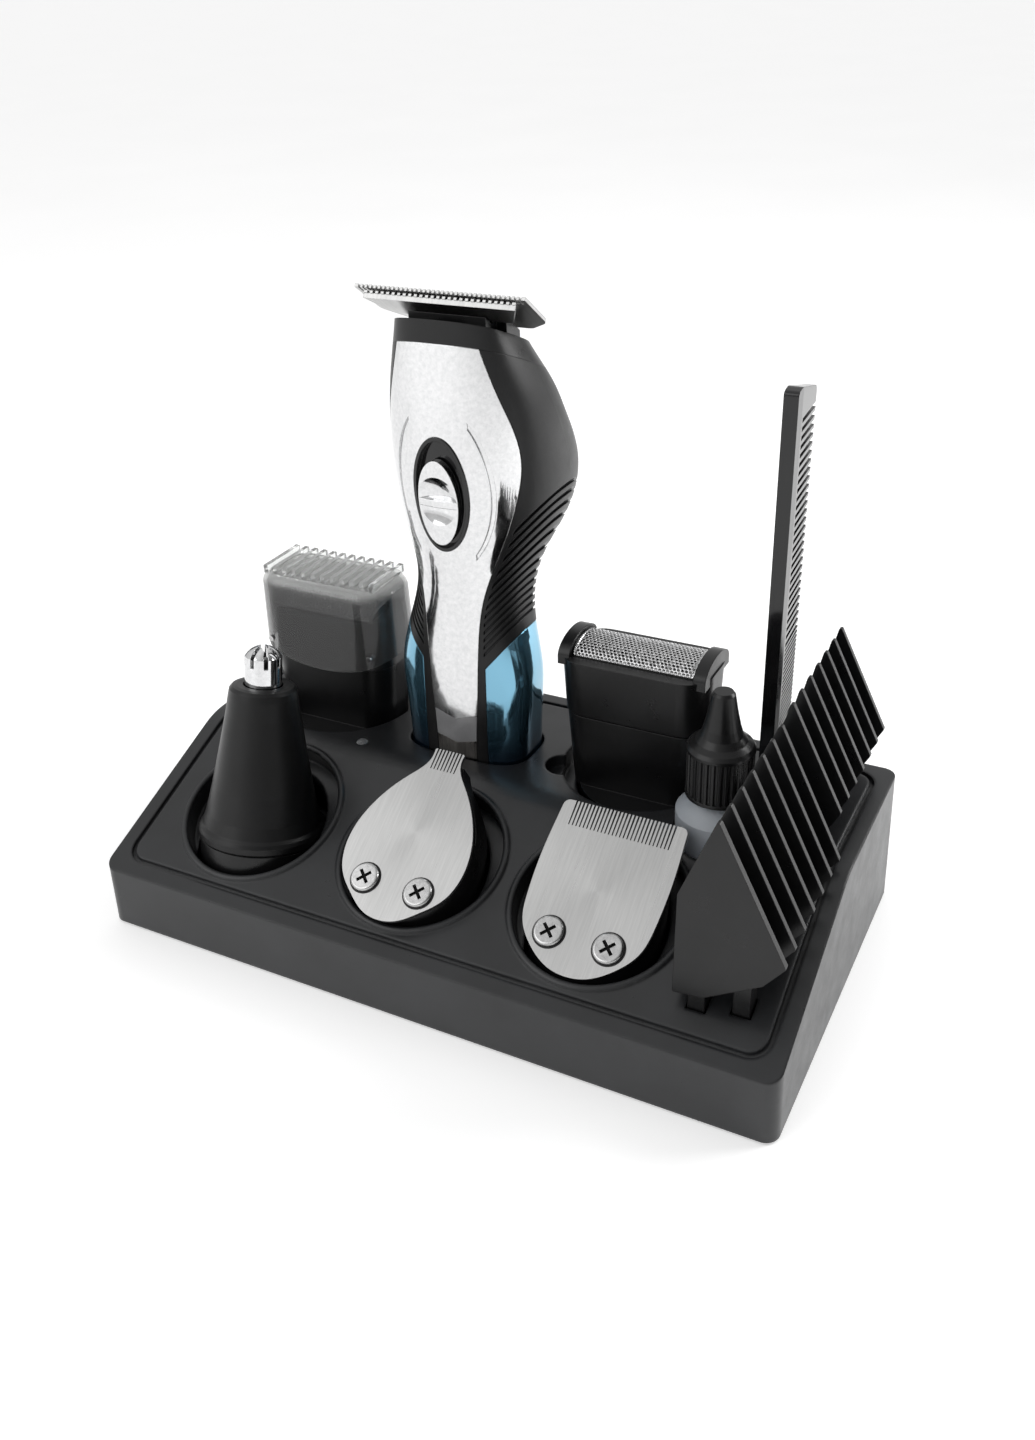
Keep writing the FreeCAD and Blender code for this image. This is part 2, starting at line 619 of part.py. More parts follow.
def slide_switch(hollow):
    """Black oval bezel with a raised rim, and the chrome slide button in it."""
    proud = body_solid(0.35)
    bezel = proud.cut(hollow).common(ellipse_prism(HANDSET_X, SWITCH_Z, BEZEL_A, BEZEL_B, -5, 24))
    dish_oval = ellipse_prism(HANDSET_X, SWITCH_Z, BEZEL_A - 0.9, BEZEL_B - 0.9, -5, 24)
    dish = proud.cut(body_solid(-1.3)).common(dish_oval)
    slot = box(HANDSET_X - 2.4, HANDSET_X + 2.4, 0, 20, BUTTON_Z - 5.3, BUTTON_Z + 5.3 + SWITCH_TRAVEL)
    nodes["switch_bezel"] = [bezel.cut(dish).cut(slot)]

    # oval pad with a dished thumb hollow, a bar across it and a stem that reaches the switch
    oval = ellipse_prism(HANDSET_X, BUTTON_Z, BUTTON_A, BUTTON_B, -5, 24)
    pad = body_solid(1.5).cut(body_solid(-0.55)).common(oval)
    face_y = body_station(BUTTON_Z)[1] - 1.5
    scoop = Part.makeSphere(15.0, V(HANDSET_X, face_y - 13.6, BUTTON_Z))
    bar = box(HANDSET_X - 8, HANDSET_X + 8, 0, 20, BUTTON_Z - 0.9, BUTTON_Z + 0.9)
    pad = pad.cut(scoop.cut(bar))
    stem_y = SWITCH_BLOCK_Y - 0.3
    stem = box(HANDSET_X - 1.9, HANDSET_X + 1.9, face_y + 1.7, stem_y, BUTTON_Z - 4.8, BUTTON_Z + 4.8)
    nodes["slide_switch_button"] = [pad.fuse(stem).removeSplitter()]


def handset_ends(full):
    """Slanted collar that closes the top, and the end cap with its charging contacts."""
    collar = full.common(collar_plane_block(COLLAR_T, 90)).cut(collar_plane_block(0, 90))
    collar = collar.cut(rod(V(HANDSET_X, CORE_Y, 120), 6.4, 60))
    for side in (-1, 1):
        x = HANDSET_X + side * LATCH_X
        collar = collar.cut(box(x - 1.1, x + 1.1, CORE_Y - 2.4, CORE_Y + 2.4, 130, 170))
    nodes["top_collar"] = [collar]

    cap_top = FOOT_Z + END_CAP_T
    cap = full.common(box(HANDSET_X - 40, HANDSET_X + 40, -10, 60, FOOT_Z, cap_top))
    for x in CONTACT_X:
        cap = cap.cut(rod(V(x, CONTACT_Y, 0), 1.9, 20))
        cap = cap.cut(rod(V(x, CONTACT_Y, cap_top - 0.8), 3.0, 5))
    nodes["bottom_end_cap"] = [cap]
    nodes["charging_contact_plates"] = [rod(V(x, CONTACT_Y, cap_top - 0.8), 2.9, 0.8) for x in CONTACT_X]


def screw_seat_y(z):
    """Where a housing screw's head seats in the rear housing."""
    return body_station(z)[2] - 1.7


def inner_frame():
    """Two rails joined by cross plates, with bosses for the rear screws."""
    xc = HANDSET_X
    z0 = FOOT_Z + END_CAP_T
    half = RAIL_X + RAIL_T
    frame = []
    for x in (xc - half, xc + RAIL_X):
        frame.append(box(x, x + RAIL_T, CORE_Y - 3.5, CORE_Y + 3.5, z0, 142.0))
    frame.append(box(xc - half, xc + half, CORE_Y - 3.5, CORE_Y + 3.5, z0 + 1.0, z0 + 3.0))
    for z in (72.0, 105.5, 135.4):
        frame.append(box(xc - RAIL_X - 0.5, xc + RAIL_X + 0.5, CORE_Y - 5.5, CORE_Y + 6.5, z, z + 2.0))
    # a web behind the motor carries the upper screw boss
    web_y = CORE_Y + MOTOR_R + 0.5
    r = SCREW_BOSS_R
    frame.append(box(xc - r, xc + r, CORE_Y + 6.0, web_y + 2.4, 135.4, 137.4))
    frame.append(box(xc - r, xc + r, web_y, web_y + 2.4, HOUSING_SCREW_Z[1], 137.4))
    for z, start_y in zip(HOUSING_SCREW_Z, (CORE_Y + 5.6, web_y)):
        frame.append(rod(V(xc, start_y, z), r, screw_seat_y(z) - SCREW_PAD_DEPTH - start_y, Y_AXIS))
    shape = join(frame).cut(rod(V(xc, CORE_Y, 134), 2.6, 5))
    for z in HOUSING_SCREW_Z:
        shape = shape.cut(rod(V(xc, screw_seat_y(z) - 5.2, z), 1.02, 6, Y_AXIS))
    nodes["inner_frame"] = [shape]
    screw = phillips_screw(2.0, 0.8, 1.0, 5.0)
    seats = [V(xc, screw_seat_y(z), z) for z in HOUSING_SCREW_Z]
    nodes["housing_screws"] = [placed(screw, seat, X_AXIS, Y_AXIS) for seat in seats]


def power_train():
    """Cell, motor, shaft with its eccentric pin, circuit board and the switch behind the button."""
    xc = HANDSET_X
    cell = rod(V(xc, CORE_Y, BATTERY_Z0), BATTERY_R, BATTERY_L)
    terminal = rod(V(xc, CORE_Y, BATTERY_Z0 + BATTERY_L), 2.6, 1.1)
    nodes["battery_cell"] = [join([cell, terminal])]

    motor_top = MOTOR_Z0 + MOTOR_L
    can = rod(V(xc, CORE_Y, MOTOR_Z0), MOTOR_R, MOTOR_L).fuse(rod(V(xc, CORE_Y, motor_top - 0.5), 2.4, 1.5))
    can = can.cut(rod(V(xc, CORE_Y, motor_top - 6), 1.04, 20))
    nodes["motor"] = [can.removeSplitter()]
    shaft = rod(V(xc, CORE_Y, motor_top - 5), 1.0, CAM_Z - motor_top + 6)
    cam = rod(V(xc, CORE_Y, CAM_Z), CAM_R, 4.0)
    pin = rod(V(xc + ECCENTRIC, CORE_Y, CAM_Z + 3.8), PIN_R, YOKE_Z1 - CAM_Z - 3.9)
    nodes["motor_shaft_cam"] = [join([shaft, cam, pin])]

    chip_y = PCB_Y + 1.2
    board = [box(xc - 7.5, xc + 7.5, PCB_Y, chip_y, 75.0, 104.5)]
    board.append(box(xc - 6, xc + 2, chip_y, chip_y + 1.4, 80, 88))
    board.append(box(xc - 3, xc + 5, chip_y, chip_y + 1.2, 92, 98))
    nodes["circuit_board"] = [join(board)]
    block_y = SWITCH_BLOCK_Y
    nodes["switch_contact_block"] = [box(xc - 5.0, xc + 5.0, block_y, block_y + 1.2, 104.0, 127.0)]


# ---------------------------------------------------------------- T-blade head on the handset
def plate_point(origin, along, out):
    """Maps plate coordinates (sideways, along, off the plate) into space."""
    return lambda u, v, w: origin + X_AXIS * u + along * v + out * w


def on_plate(at, w):
    """Lifts a 2-D outline to the level w above a plate's upper face."""
    return lambda u, v: at(u, v, w)


def toothed_edge(at, half, v_tip, v_root, w0, w1, count, duty):
    """Slots between the teeth, cut through a plate from its tip inward."""
    pitch = 2 * half / count
    cuts = []
    for i in range(count):
        u = -half + pitch * (i + 0.5)
        g = pitch * duty / 2
        narrow = g * 0.55
        points = [at(u - g, v_tip, w0), at(u + g, v_tip, w0)]
        points += [at(u + narrow, v_root, w0), at(u - narrow, v_root, w0)]
        cuts.append(Part.Face(Part.makePolygon(points + points[:1])).extrude(at(0, 0, w1) - at(0, 0, w0)))
    return Part.makeCompound(cuts)


def blade_screws(at, v, out, length):
    screw = phillips_screw(3.8, 1.2, 1.4, length)
    return [placed(screw, at(s * SCREW_X, v, 0), X_AXIS, out) for s in (-1, 1)]


def t_blades(at, w0):
    """Fixed T plate and the cutter under it; w0 is the underside of the cutter's toothed layer."""
    right = [(T_HALF, 0), (T_HALF, 13.0), (T_HALF - 5.5, 17.5)]
    outline = right + [(-u, v) for u, v in reversed(right)]
    plate = slab(outline, [0, 3.0, 3.0, 3.0, 3.0, 0], on_plate(at, -T_PLATE_T), T_OUT * T_PLATE_T)
    plate = plate.cut(toothed_edge(at, T_HALF - 0.7, -0.5, 2.3, -T_PLATE_T - 1, 1, 36, 0.5))
    for s in (-1, 1):
        plate = plate.cut(rod(at(s * SCREW_X, T_SCREW_V, -3), 1.5, 5, T_OUT))
    nodes["t_fixed_blade"] = [plate]

    # toothed layer on a plain bar; the yoke below takes the eccentric pin
    half = T_HALF - 2.4
    right = [(half, 0.7), (half - 1.2, 3.4), (half - 4.0, 9.2)]
    outline = right + [(-u, v) for u, v in reversed(right)]
    cutter = slab(outline, [0, 0.8, 2.0, 2.0, 0.8, 0], on_plate(at, w0), T_OUT * T_CUTTER_T)
    cutter = cutter.cut(toothed_edge(at, half - 0.6, 0.2, 2.6, w0 - 1, w0 + T_CUTTER_T + 1, 26, 0.5))
    right = [(half, 1.0), (half - 1.2, 3.4), (half - 4.0, 9.2)]
    outline = right + [(-u, v) for u, v in reversed(right)]
    bar = slab(outline, [0, 0.8, 2.0, 2.0, 0.8, 0], on_plate(at, w0 - T_BAR_T), T_OUT * (T_BAR_T + 0.1))
    x = HANDSET_X
    y0 = CORE_Y - 1.9
    y1 = CORE_Y + 1.9
    yoke = [box(x - YOKE_OUT, x + YOKE_OUT, y0, y1, YOKE_Z1 + 0.6, T_TOOTH_Z)]
    for left in (x - YOKE_OUT, x + YOKE_IN):
        yoke.append(box(left, left + YOKE_OUT - YOKE_IN, y0, y1, YOKE_Z1 - 2.4, YOKE_Z1 + 2))
    under = slab(rectangle(0, 12, 24, 36), 0, on_plate(at, w0 - T_BAR_T + 0.2), T_OUT * -16)
    nodes["t_moving_blade"] = [cutter.fuse([bar, join(yoke).common(under)]).removeSplitter()]


def t_head():
    at = plate_point(T_ORIGIN, T_DOWN, T_OUT)
    w0 = -T_PLATE_T - BLADE_GAP - T_CUTTER_T
    t_blades(at, w0)

    def side(v, w):
        """Side view (y, z) of a point on the tilted plate."""
        p = at(0, v, w)
        return (p.y, p.z)

    def floor(y):
        """Height of the head's underside, just clear of the slanted collar."""
        seat = COLLAR_FRONT_Z + SEAT_GAP / cos(collar_rad)
        return seat - (y - COLLAR_FRONT_Y) * tan(collar_rad)

    pocket_w = w0 - T_BAR_T - 0.3
    y_front = T_TOOTH_Y + 3.0
    y_back, z_back = side(17.0, -T_PLATE_T)
    y_back += 1.6
    points = [(y_front, floor(y_front)), side(6.0, pocket_w), side(9.9, pocket_w), side(9.9, -T_PLATE_T)]
    points += [side(17.0, -T_PLATE_T), (y_back, z_back - 1.2), (y_back, floor(y_back))]
    block = slab(points, 0, on_yz(HANDSET_X - 13.0), V(26.0, 0, 0))
    for s in (-1, 1):
        shoulder = sorted((HANDSET_X + s * 10.4, HANDSET_X + s * 14.0))
        block = block.cut(box(*shoulder, 0, CORE_Y + 2.4, 140, 170))
    block = block.cut(box(HANDSET_X - 5.0, HANDSET_X + 5.0, CORE_Y - 2.3, CORE_Y + 3.2, 140, 170))
    hook_z = floor(CORE_Y)
    for s in (-1, 1):
        x = HANDSET_X + s * LATCH_X
        block = block.fuse(box(x - 0.8, x + 0.8, CORE_Y - 2.0, CORE_Y + 2.0, hook_z - 4.6, hook_z + 1.5))
    for s in (-1, 1):
        block = block.cut(rod(at(s * SCREW_X, T_SCREW_V, -7), 1.42, 9, T_OUT))
    nodes["t_head_housing"] = [block.removeSplitter()]
    nodes["t_blade_screws"] = blade_screws(at, T_SCREW_V, T_OUT, 2.8)


# ---------------------------------------------------------------- heads in the front sockets
def in_head_frame(shape, x):
    """Carries a shape drawn round +Z to the leaning axis of a front socket."""
    return placed(shape, socket_centre(x), X_AXIS, LEAN_AXIS)


def base_bore():
    """Where a head plugs onto the handset."""
    return Part.makeCylinder(HEAD_BORE_R, HEAD_BORE_DEPTH, V(0, 0, -HEAD_BASE_DEPTH))


def base_cup():
    """Round base that every head shares: a skirt with the bore that plugs onto the handset."""
    skirt = Part.makeCylinder(HEAD_BASE_R, HEAD_BASE_DEPTH, V(0, 0, -HEAD_BASE_DEPTH))
    rim = [e for e in skirt.Edges if e.BoundBox.ZMax < -HEAD_BASE_DEPTH + 0.01]
    return skirt.makeFillet(0.8, rim).cut(base_bore())


def blade_outline(half, tip_r, lift):
    """A closed smooth wire round a blade plate: distance up the plate and half width at each station."""
    v_tip, w_tip = half[-1]
    side = [(w, v) for v, w in half[:-1]] + [(w_tip, v_tip - tip_r)]
    path = [lift(w, v) for w, v in reversed(side)] + [lift(-w, v) for w, v in side]
    curve = Part.BSplineCurve()
    curve.interpolate(path)
    k = tip_r * (1 - sin(pi / 4))
    left = lift(tip_r - w_tip, v_tip)
    right = lift(w_tip - tip_r, v_tip)
    edges = [curve.toShape(), Part.Arc(path[-1], lift(k - w_tip, v_tip - k), left).toShape()]
    edges += [Part.makeLine(left, right), Part.Arc(right, lift(w_tip - k, v_tip - k), path[0]).toShape()]
    return Part.Wire(edges)


def blade_head(x, prefix, screw_place, half_outline, tip_r, tooth_half, v_root, slots, cutter_half):
    """A detachable blade head: leaning housing, toothed plate, sliding cutter behind it, two screws.

    screw_place is the y and z, in the head's own frame, midway between the screws.
    """
    tilt = radians(BLADE_TILT_DEG)
    out = V(0, -sin(tilt), cos(tilt))
    at = plate_point(V(0, *screw_place), V(0, cos(tilt), sin(tilt)), out)
    v_tip = half_outline[-1][0]
    w0 = -PLATE_T - BLADE_GAP - CUTTER_T

    plate = Part.Face(blade_outline(half_outline, tip_r, on_plate(at, -PLATE_T))).extrude(out * PLATE_T)
    plate = plate.cut(toothed_edge(at, tooth_half, v_tip + 0.3, v_root, -PLATE_T - 1, 1, slots, 0.46))
    for s in (-1, 1):
        plate = plate.cut(rod(at(s * SCREW_X, 0, -3), 1.5, 5, out))
    nodes[prefix + "_fixed_blade"] = [in_head_frame(plate, x)]
    nodes[prefix + "_blade_screws"] = [in_head_frame(screw, x) for screw in blade_screws(at, 0, out, 5.0)]

    waist = max(cutter_half, 5.0)
    right = [(cutter_half, v_tip - 0.9), (cutter_half, v_tip - 7), (waist, v_tip - 12), (5.0, v_tip - 21)]
    cutter = slab(right + [(-u, v) for u, v in reversed(right)], 0, on_plate(at, w0), out * CUTTER_T)
    cutter_slots = max(5, slots * 3 // 4)
    top_w = w0 + CUTTER_T + 1
    teeth = toothed_edge(at, cutter_half - 0.2, v_tip - 0.5, v_root - 0.4, w0 - 1, top_w, cutter_slots, 0.5)
    cutter = cutter.cut(teeth)
    prong = YOKE_OUT - YOKE_IN
    yoke = [box(left, left + prong, -1.8, 1.8, -2.0, 12.0) for left in (-YOKE_OUT, YOKE_IN)]
    yoke.append(box(-YOKE_OUT, YOKE_OUT, -1.8, 1.8, 1.5, 16.0))
    under = slab(rectangle(0, 20, 60, 80), 0, on_plate(at, w0 + 0.2), out * -30)
    cutter = cutter.fuse(join(yoke).common(under))
    nodes[prefix + "_moving_blade"] = [in_head_frame(cutter.removeSplitter(), x)]

    # housing: a round column that takes the plate's outline above the socket
    column = Part.makeCylinder(HEAD_BASE_R, 60, V(0, 0, -HEAD_BASE_DEPTH))
    below = slab(rectangle(0, 10, 80, 140), 0, on_plate(at, -PLATE_T), out * -70)
    outline = Part.Face(blade_outline(half_outline, tip_r, on_plate(at, 10))).extrude(out * -70)
    body = column.common(below).common(outline.fuse(box(-30, 30, -30, 30, -60, -2.5)))
    pocket_v = v_tip - 22.0
    cutter_room = slab(rectangle(0, pocket_v + 50, 80, 100), 0, on_plate(at, w0 - 0.3), out * 20)
    tip_room = slab(rectangle(0, v_tip + 47.2, 80, 100), 0, on_plate(at, -20), out * 30)
    body = body.cut(cutter_room).cut(tip_room).cut(base_bore())
    body = body.cut(box(-5.0, 5.0, -3.0, 3.0, -HEAD_BASE_DEPTH + 8, 40))
    for s in (-1, 1):
        body = body.cut(rod(at(s * SCREW_X, 0, -7), 1.42, 9, out))
    nodes[prefix + "_head_housing"] = [in_head_frame(body.removeSplitter(), x)]


def nose_head():
    x = SOCKET_X[0]
    joint_z = -7.0
    above = Part.makeCylinder(30, 30, V(0, 0, joint_z))
    nodes["nose_base_ring"] = [in_head_frame(base_cup().cut(above), x)]

    # cone with a rounded lip at its foot and at its top
    lip = [(16.4, joint_z), (17.0, joint_z + 0.7), (17.1, joint_z + 2.4), (16.7, joint_z + 3.4)]
    flank = [(16.0, joint_z + 4.2), (15.0, 0.5), (13.4, 8.0), (11.6, 18.0), (9.9, 28.0), (9.2, 33.2)]
    top = [(8.9, 34.8), (8.2, 35.6), (7.0, 35.8)]
    cone = turned([(0, joint_z)] + lip + flank + top + [(0, 35.8)])
    cone = cone.cut(Part.makeCylinder(5.3, 12, V(0, 0, 29.2)))
    cone = cone.cut(Part.makeCylinder(3.0, 60, V(0, 0, joint_z - 1)))
    cone = cone.cut(Part.makeCone(HEAD_BORE_R, 5.0, 30, V(0, 0, joint_z - 0.01)))
    nodes["nose_head_housing"] = [in_head_frame(cone.removeSplitter(), x)]

    # slotted guard tube with a domed end
    r = NOSE_TIP_R
    foot = 29.3
    dome = Part.makeSphere(5.6, V(0, 0, foot + 11.6)).common(Part.makeCylinder(r, 15, V(0, 0, foot + 13.9)))
    guard = Part.makeCylinder(r, 14.0, V(0, 0, foot)).fuse(dome)
    guard = guard.cut(Part.makeCylinder(r - 1.0, 13.2, V(0, 0, foot + 1.4)))
    guard = guard.cut(Part.makeCylinder(1.5, 6, V(0, 0, foot - 1)))
    for i in range(NOSE_SLOTS // 2):
        slot = box(-8, 8, -0.55, 0.55, foot + 11.8, foot + 30)
        slot.rotate(V(0, 0, 0), Z_AXIS, 360 / NOSE_SLOTS * i)
        guard = guard.cut(slot)
    guard = guard.cut(Part.makeCylinder(1.0, 30, V(0, 0, foot + 9)))
    guard = guard.fuse(tube(V(0, 0, foot + 10.6), r, r - 1.0, 0.9))
    nodes["nose_guard_tube"] = [in_head_frame(guard.removeSplitter(), x)]

    rotor = [Part.makeCylinder(1.2, 43.6, V(0, 0, -4.0)), Part.makeCylinder(2.6, 3.0, V(0, 0, -5.0))]
    rotor.append(box(-3.5, 3.5, -0.4, 0.4, foot + 6.3, foot + 13.5))
    rotor.append(box(-0.4, 0.4, -3.5, 3.5, foot + 6.3, foot + 13.5))
    nodes["nose_cutter"] = [in_head_frame(join(rotor), x)]


# ---------------------------------------------------------------- foil shaver heads in the rear sockets
def shaver_base(x, y, w, d, top_z):
    """Round base with the bore for the handset, and the hollow oval neck that rises from it."""
    floor_z = TIER_H - REAR_WELL_DEPTH + SEAT_GAP
    seat_z = TIER_H - REAR_DISH_DEPTH
    base = rod(V(x, y, floor_z), HEAD_BASE_R, seat_z + 1.5 - floor_z)
    base = base.cut(rod(V(x, y, floor_z), HEAD_BORE_R, HEAD_BORE_DEPTH)).cut(rod(V(x, y, floor_z), 6.0, 30.0))
    neck = shaver_body(x, y, (36.0, 18.0), (w, d), seat_z + 0.5, top_z, 7.0)
    room = shaver_body(x, y, (31.0, 13.0), (33.0, 14.0), seat_z + 3, top_z + 1.4, 5.0)
    return base.fuse(neck.cut(room)).removeSplitter()


def shaver_body(x, y, low_size, high_size, z0, z1, r):
    """A rounded block that changes from one size to another with height."""
    wires = []
    for size, z in ((low_size, z0), (high_size, z1)):
        wires.append(rounded_outline(rectangle(x, y, *size), r, on_xy(z)))
    return Part.makeLoft(wires, True, True)


def foil_arch(x, y, half_len, r, squash, z_spring, lower):
    """A long arch over the cutter: a half ellipse along X with short straight sides."""
    steps = 12
    arc = []
    for i in range(steps + 1):
        t = pi * i / steps
        arc.append(V(x - half_len, y - r * cos(t), z_spring + r * squash * sin(t)))
    curve = Part.BSplineCurve()
    curve.interpolate(arc)
    corners = [arc[-1], arc[0]]
    if lower > 0:
        corners = [arc[-1], arc[-1] - Z_AXIS * lower, arc[0] - Z_AXIS * lower, arc[0]]
    wire = Part.Wire([curve.toShape()] + [Part.makeLine(p, q) for p, q in zip(corners, corners[1:])])
    return Part.Face(wire).extrude(V(2 * half_len, 0, 0))


def foil_cutter(x, y, count, pitch, r, squash, z_foil):
    """A row of arched blades on a carrier with the fork that the handset drives."""
    middle = (count - 1) / 2
    parts = []
    for i in range(count):
        parts.append(foil_arch(x + (i - middle) * pitch, y, 0.4, r, squash, z_foil - 1.4, 1.5))
    half = middle * pitch + 0.5
    parts.append(box(x - half, x + half, y - 2.2, y + 2.2, z_foil - 6.0, z_foil - 2.4))
    stem = box(x - YOKE_OUT, x + YOKE_OUT, y - 2.0, y + 2.0, 44.0, z_foil - 5.5)
    parts.append(stem.cut(box(x - YOKE_IN, x + YOKE_IN, y - 3, y + 3, 40, 50)))
    return join(parts)


def foil_head():
    x = FOIL_X
    y = FOIL_Y
    z_seam = 57.0
    z_foil = 72.6
    nodes["foil_head_base"] = [shaver_base(x, y, 38.8, 19.4, z_seam - 0.4)]
    body = shaver_body(x, y, (39.6, 19.8), (FOIL_W, 21.6), z_seam, z_foil, 7.5)
    cheek_x = FOIL_W / 2 - 1.9
    body = body.fuse([foil_arch(x + s * cheek_x, y, 1.6, 8.8, 0.5, z_foil, 2.0) for s in (-1, 1)])
    body = body.cut(box(x - 16.2, x + 16.2, y - 6.2, y + 6.2, z_seam - 1, z_foil + 4))
    nodes["foil_head_housing"] = [body.removeSplitter()]
    outer = foil_arch(x, y, 16.7, 7.3, 0.47, z_foil + 0.05, 0.0)
    inner = foil_arch(x, y, 19.0, 6.9, 0.47, z_foil - 0.4, 1.0)
    nodes["shaver_foil"] = [outer.cut(inner)]
    nodes["foil_head_cutter"] = [foil_cutter(x, y, 11, 2.9, 5.2, 0.47, z_foil)]


def covered_head():
    x = COVERED_X
    y = COVERED_Y
    z_seam = 55.0
    z_foil = 69.6
    nodes["covered_head_base"] = [shaver_base(x, y, 39.6, 19.0, z_seam)]
    body = shaver_body(x, y, (39.6, 19.0), (38.0, 18.0), z_seam, z_foil, 7.5)
    body = body.cut(box(x - 15.5, x + 15.5, y - 6.6, y + 6.6, z_seam - 1, z_foil + 6))
    nodes["covered_head_housing"] = [body]
    outer = foil_arch(x, y, 17.0, 8.0, 0.47, z_foil + 0.05, 0.0)
    inner = foil_arch(x, y, 18.0, 7.6, 0.47, z_foil - 0.4, 1.0)
    nodes["covered_head_foil"] = [outer.cut(inner)]
    nodes["covered_head_cutter"] = [foil_cutter(x, y, 9, 3.4, 5.8, 0.47, z_foil)]
    snap_cover(x, y)


def snap_cover(x, y):
    """Protective cover with a curved lower edge, cleaning ribs on top and two latch pins."""
    roof_z = COVER_TOP_Z - 2.0
    shell = shaver_body(x, y, (43.6, 23.0), (42.6, 21.6), 53.0, roof_z, 8.5)
    shell = shell.makeFillet(3.6, [e for e in shell.Edges if e.BoundBox.ZMin > roof_z - 0.1])
    room_z = roof_z - 1.4
    room = shaver_body(x, y, (41.2, 20.6), (40.2, 19.2), 52.0, room_z, 7.3)
    room = room.makeFillet(2.6, [e for e in room.Edges if e.BoundBox.ZMin > room_z - 0.1])
    shell = shell.cut(room)
    # the lower edge sags in the middle and rises to both ends
    sag_r = 46.0
    shell = shell.common(rod(V(x, y - 30, 53.6 + sag_r), sag_r, 60, Y_AXIS))
    ribs = []
    for i in range(12):
        rx = x - 17.6 + 3.2 * i
        ribs.append(box(rx - 0.7, rx + 0.7, y - 8.0, y + 8.0, roof_z - 0.3, COVER_TOP_Z))
    shell = shell.fuse(ribs).removeSplitter()
    pin_at = [V(x + s * 16.6, y - 11.3, 60.0) for s in (-1, 1)]
    for p in pin_at:
        shell = shell.cut(rod(p - Y_AXIS * 2, 0.82, 6, Y_AXIS))
    nodes["shaver_cover"] = [shell]
    nodes["cover_latch_pins"] = [rod(p, 0.8, 1.5, Y_AXIS) for p in pin_at]


# ---------------------------------------------------------------- oil bottle and combs
def oil_bottle():
    z0 = OIL_FLOOR_Z + SEAT_GAP
    shoulder_z = z0 + 28.2
    neck_z = shoulder_z + 4.2
    wall = 0.9
    neck_r = 5.2
    outer = rod(V(OIL_X, OIL_Y, z0), OIL_R, 28.2)
    bottom = [e for e in outer.Edges if e.BoundBox.ZMax < z0 + 0.01]
    outer = outer.makeFillet(1.5, bottom)
    shoulder = Part.makeCone(OIL_R, neck_r, 4.2, V(OIL_X, OIL_Y, shoulder_z))
    bottle = outer.fuse([shoulder, rod(V(OIL_X, OIL_Y, neck_z), neck_r, 7.0)])
    bottle = bottle.cut(rod(V(OIL_X, OIL_Y, z0 + wall), OIL_R - wall, 28.2 - wall))
    bottle = bottle.cut(Part.makeCone(OIL_R - wall, 4.2, 4.2, V(OIL_X, OIL_Y, shoulder_z)))
    bottle = bottle.cut(rod(V(OIL_X, OIL_Y, neck_z), 4.2, 8.0))
    nodes["oil_bottle_body"] = [bottle.removeSplitter()]
    plug = rod(V(OIL_X, OIL_Y, neck_z + 3.6), 4.14, 3.6)
    nodes["oil_dropper_insert"] = [plug.cut(rod(V(OIL_X, OIL_Y, neck_z + 2.6), 0.8, 6.0))]

    # cap: a ribbed skirt between a foot ring and a domed shoulder with a tall nozzle cover
    ribs = []
    for i in range(CAP_RIBS):
        for share, r in ((-0.36, CAP_R - 0.4), (-0.2, CAP_R), (0.2, CAP_R), (0.36, CAP_R - 0.4)):
            turn = 2 * pi * (i + share) / CAP_RIBS
            ribs.append(V(r * cos(turn), r * sin(turn), 0.5))
    skirt = Part.Face(Part.makePolygon(ribs + ribs[:1])).extrude(V(0, 0, 12.5))
    ring_r = CAP_R + 0.15
    shoulder = [(ring_r, 12.4), (ring_r, 13.2), (7.7, 14.1), (6.3, 15.1), (5.2, 16.6), (4.5, 18.8)]
    nozzle = [(3.7, 22.4), (2.8, 27.4), (2.3, 28.1)]
    dome = turned([(0, 12.4)] + shoulder + nozzle + [(0, 28.1)])
    cap = skirt.fuse([Part.makeCylinder(ring_r, 0.9), dome])
    cap = cap.cut(Part.makeCylinder(neck_r + 0.06, 8.0, V(0, 0, -0.5)))
    cap.translate(V(OIL_X, OIL_Y, neck_z + 0.8))
    nodes["oil_bottle_cap"] = [cap]


def barber_comb():
    x0 = COMB_X - COMB_T / 2
    back_y = 27.5
    tooth_y = 45.2
    foot = [(back_y, COMB_Z0), (tooth_y, COMB_Z0)]
    points = foot + [(tooth_y, COMB_Z1 - 3.6), (30.5, COMB_Z1), (back_y, COMB_Z1 - 0.6)]
    comb = slab(points, [2.5, 2.0, 2.0, 3.0, 1.2], on_yz(x0), V(COMB_T, 0, 0))
    # the teeth thin towards their tips on both faces
    tapers = []
    for x, inward in ((x0, 1), (x0 + COMB_T, -1)):
        wedge = [V(x, 31.0, 0), V(x, 50.0, 0), V(x + inward * 1.1, 50.0, 0)]
        tapers.append(Part.Face(Part.makePolygon(wedge + wedge[:1])).extrude(V(0, 0, 200)))
    comb = comb.cut(Part.makeCompound(tapers))
    # fine teeth on the lower half, coarse teeth above
    slots = []
    z = COMB_Z0 + 4.0
    change_z = (COMB_Z0 + COMB_Z1) / 2 - 6
    while z < COMB_Z1 - 7.5:
        pitch, gap = (1.3, 0.6) if z < change_z else (2.1, 1.05)
        outline = [(32.0, z), (50.0, z - 0.1), (50.0, z + gap + 0.1), (32.0, z + gap)]
        slots.append(slab(outline, 0, on_yz(x0 - 1), V(COMB_T + 2, 0, 0)))
        z += pitch
    nodes["barber_comb"] = [comb.cut(Part.makeCompound(slots))]


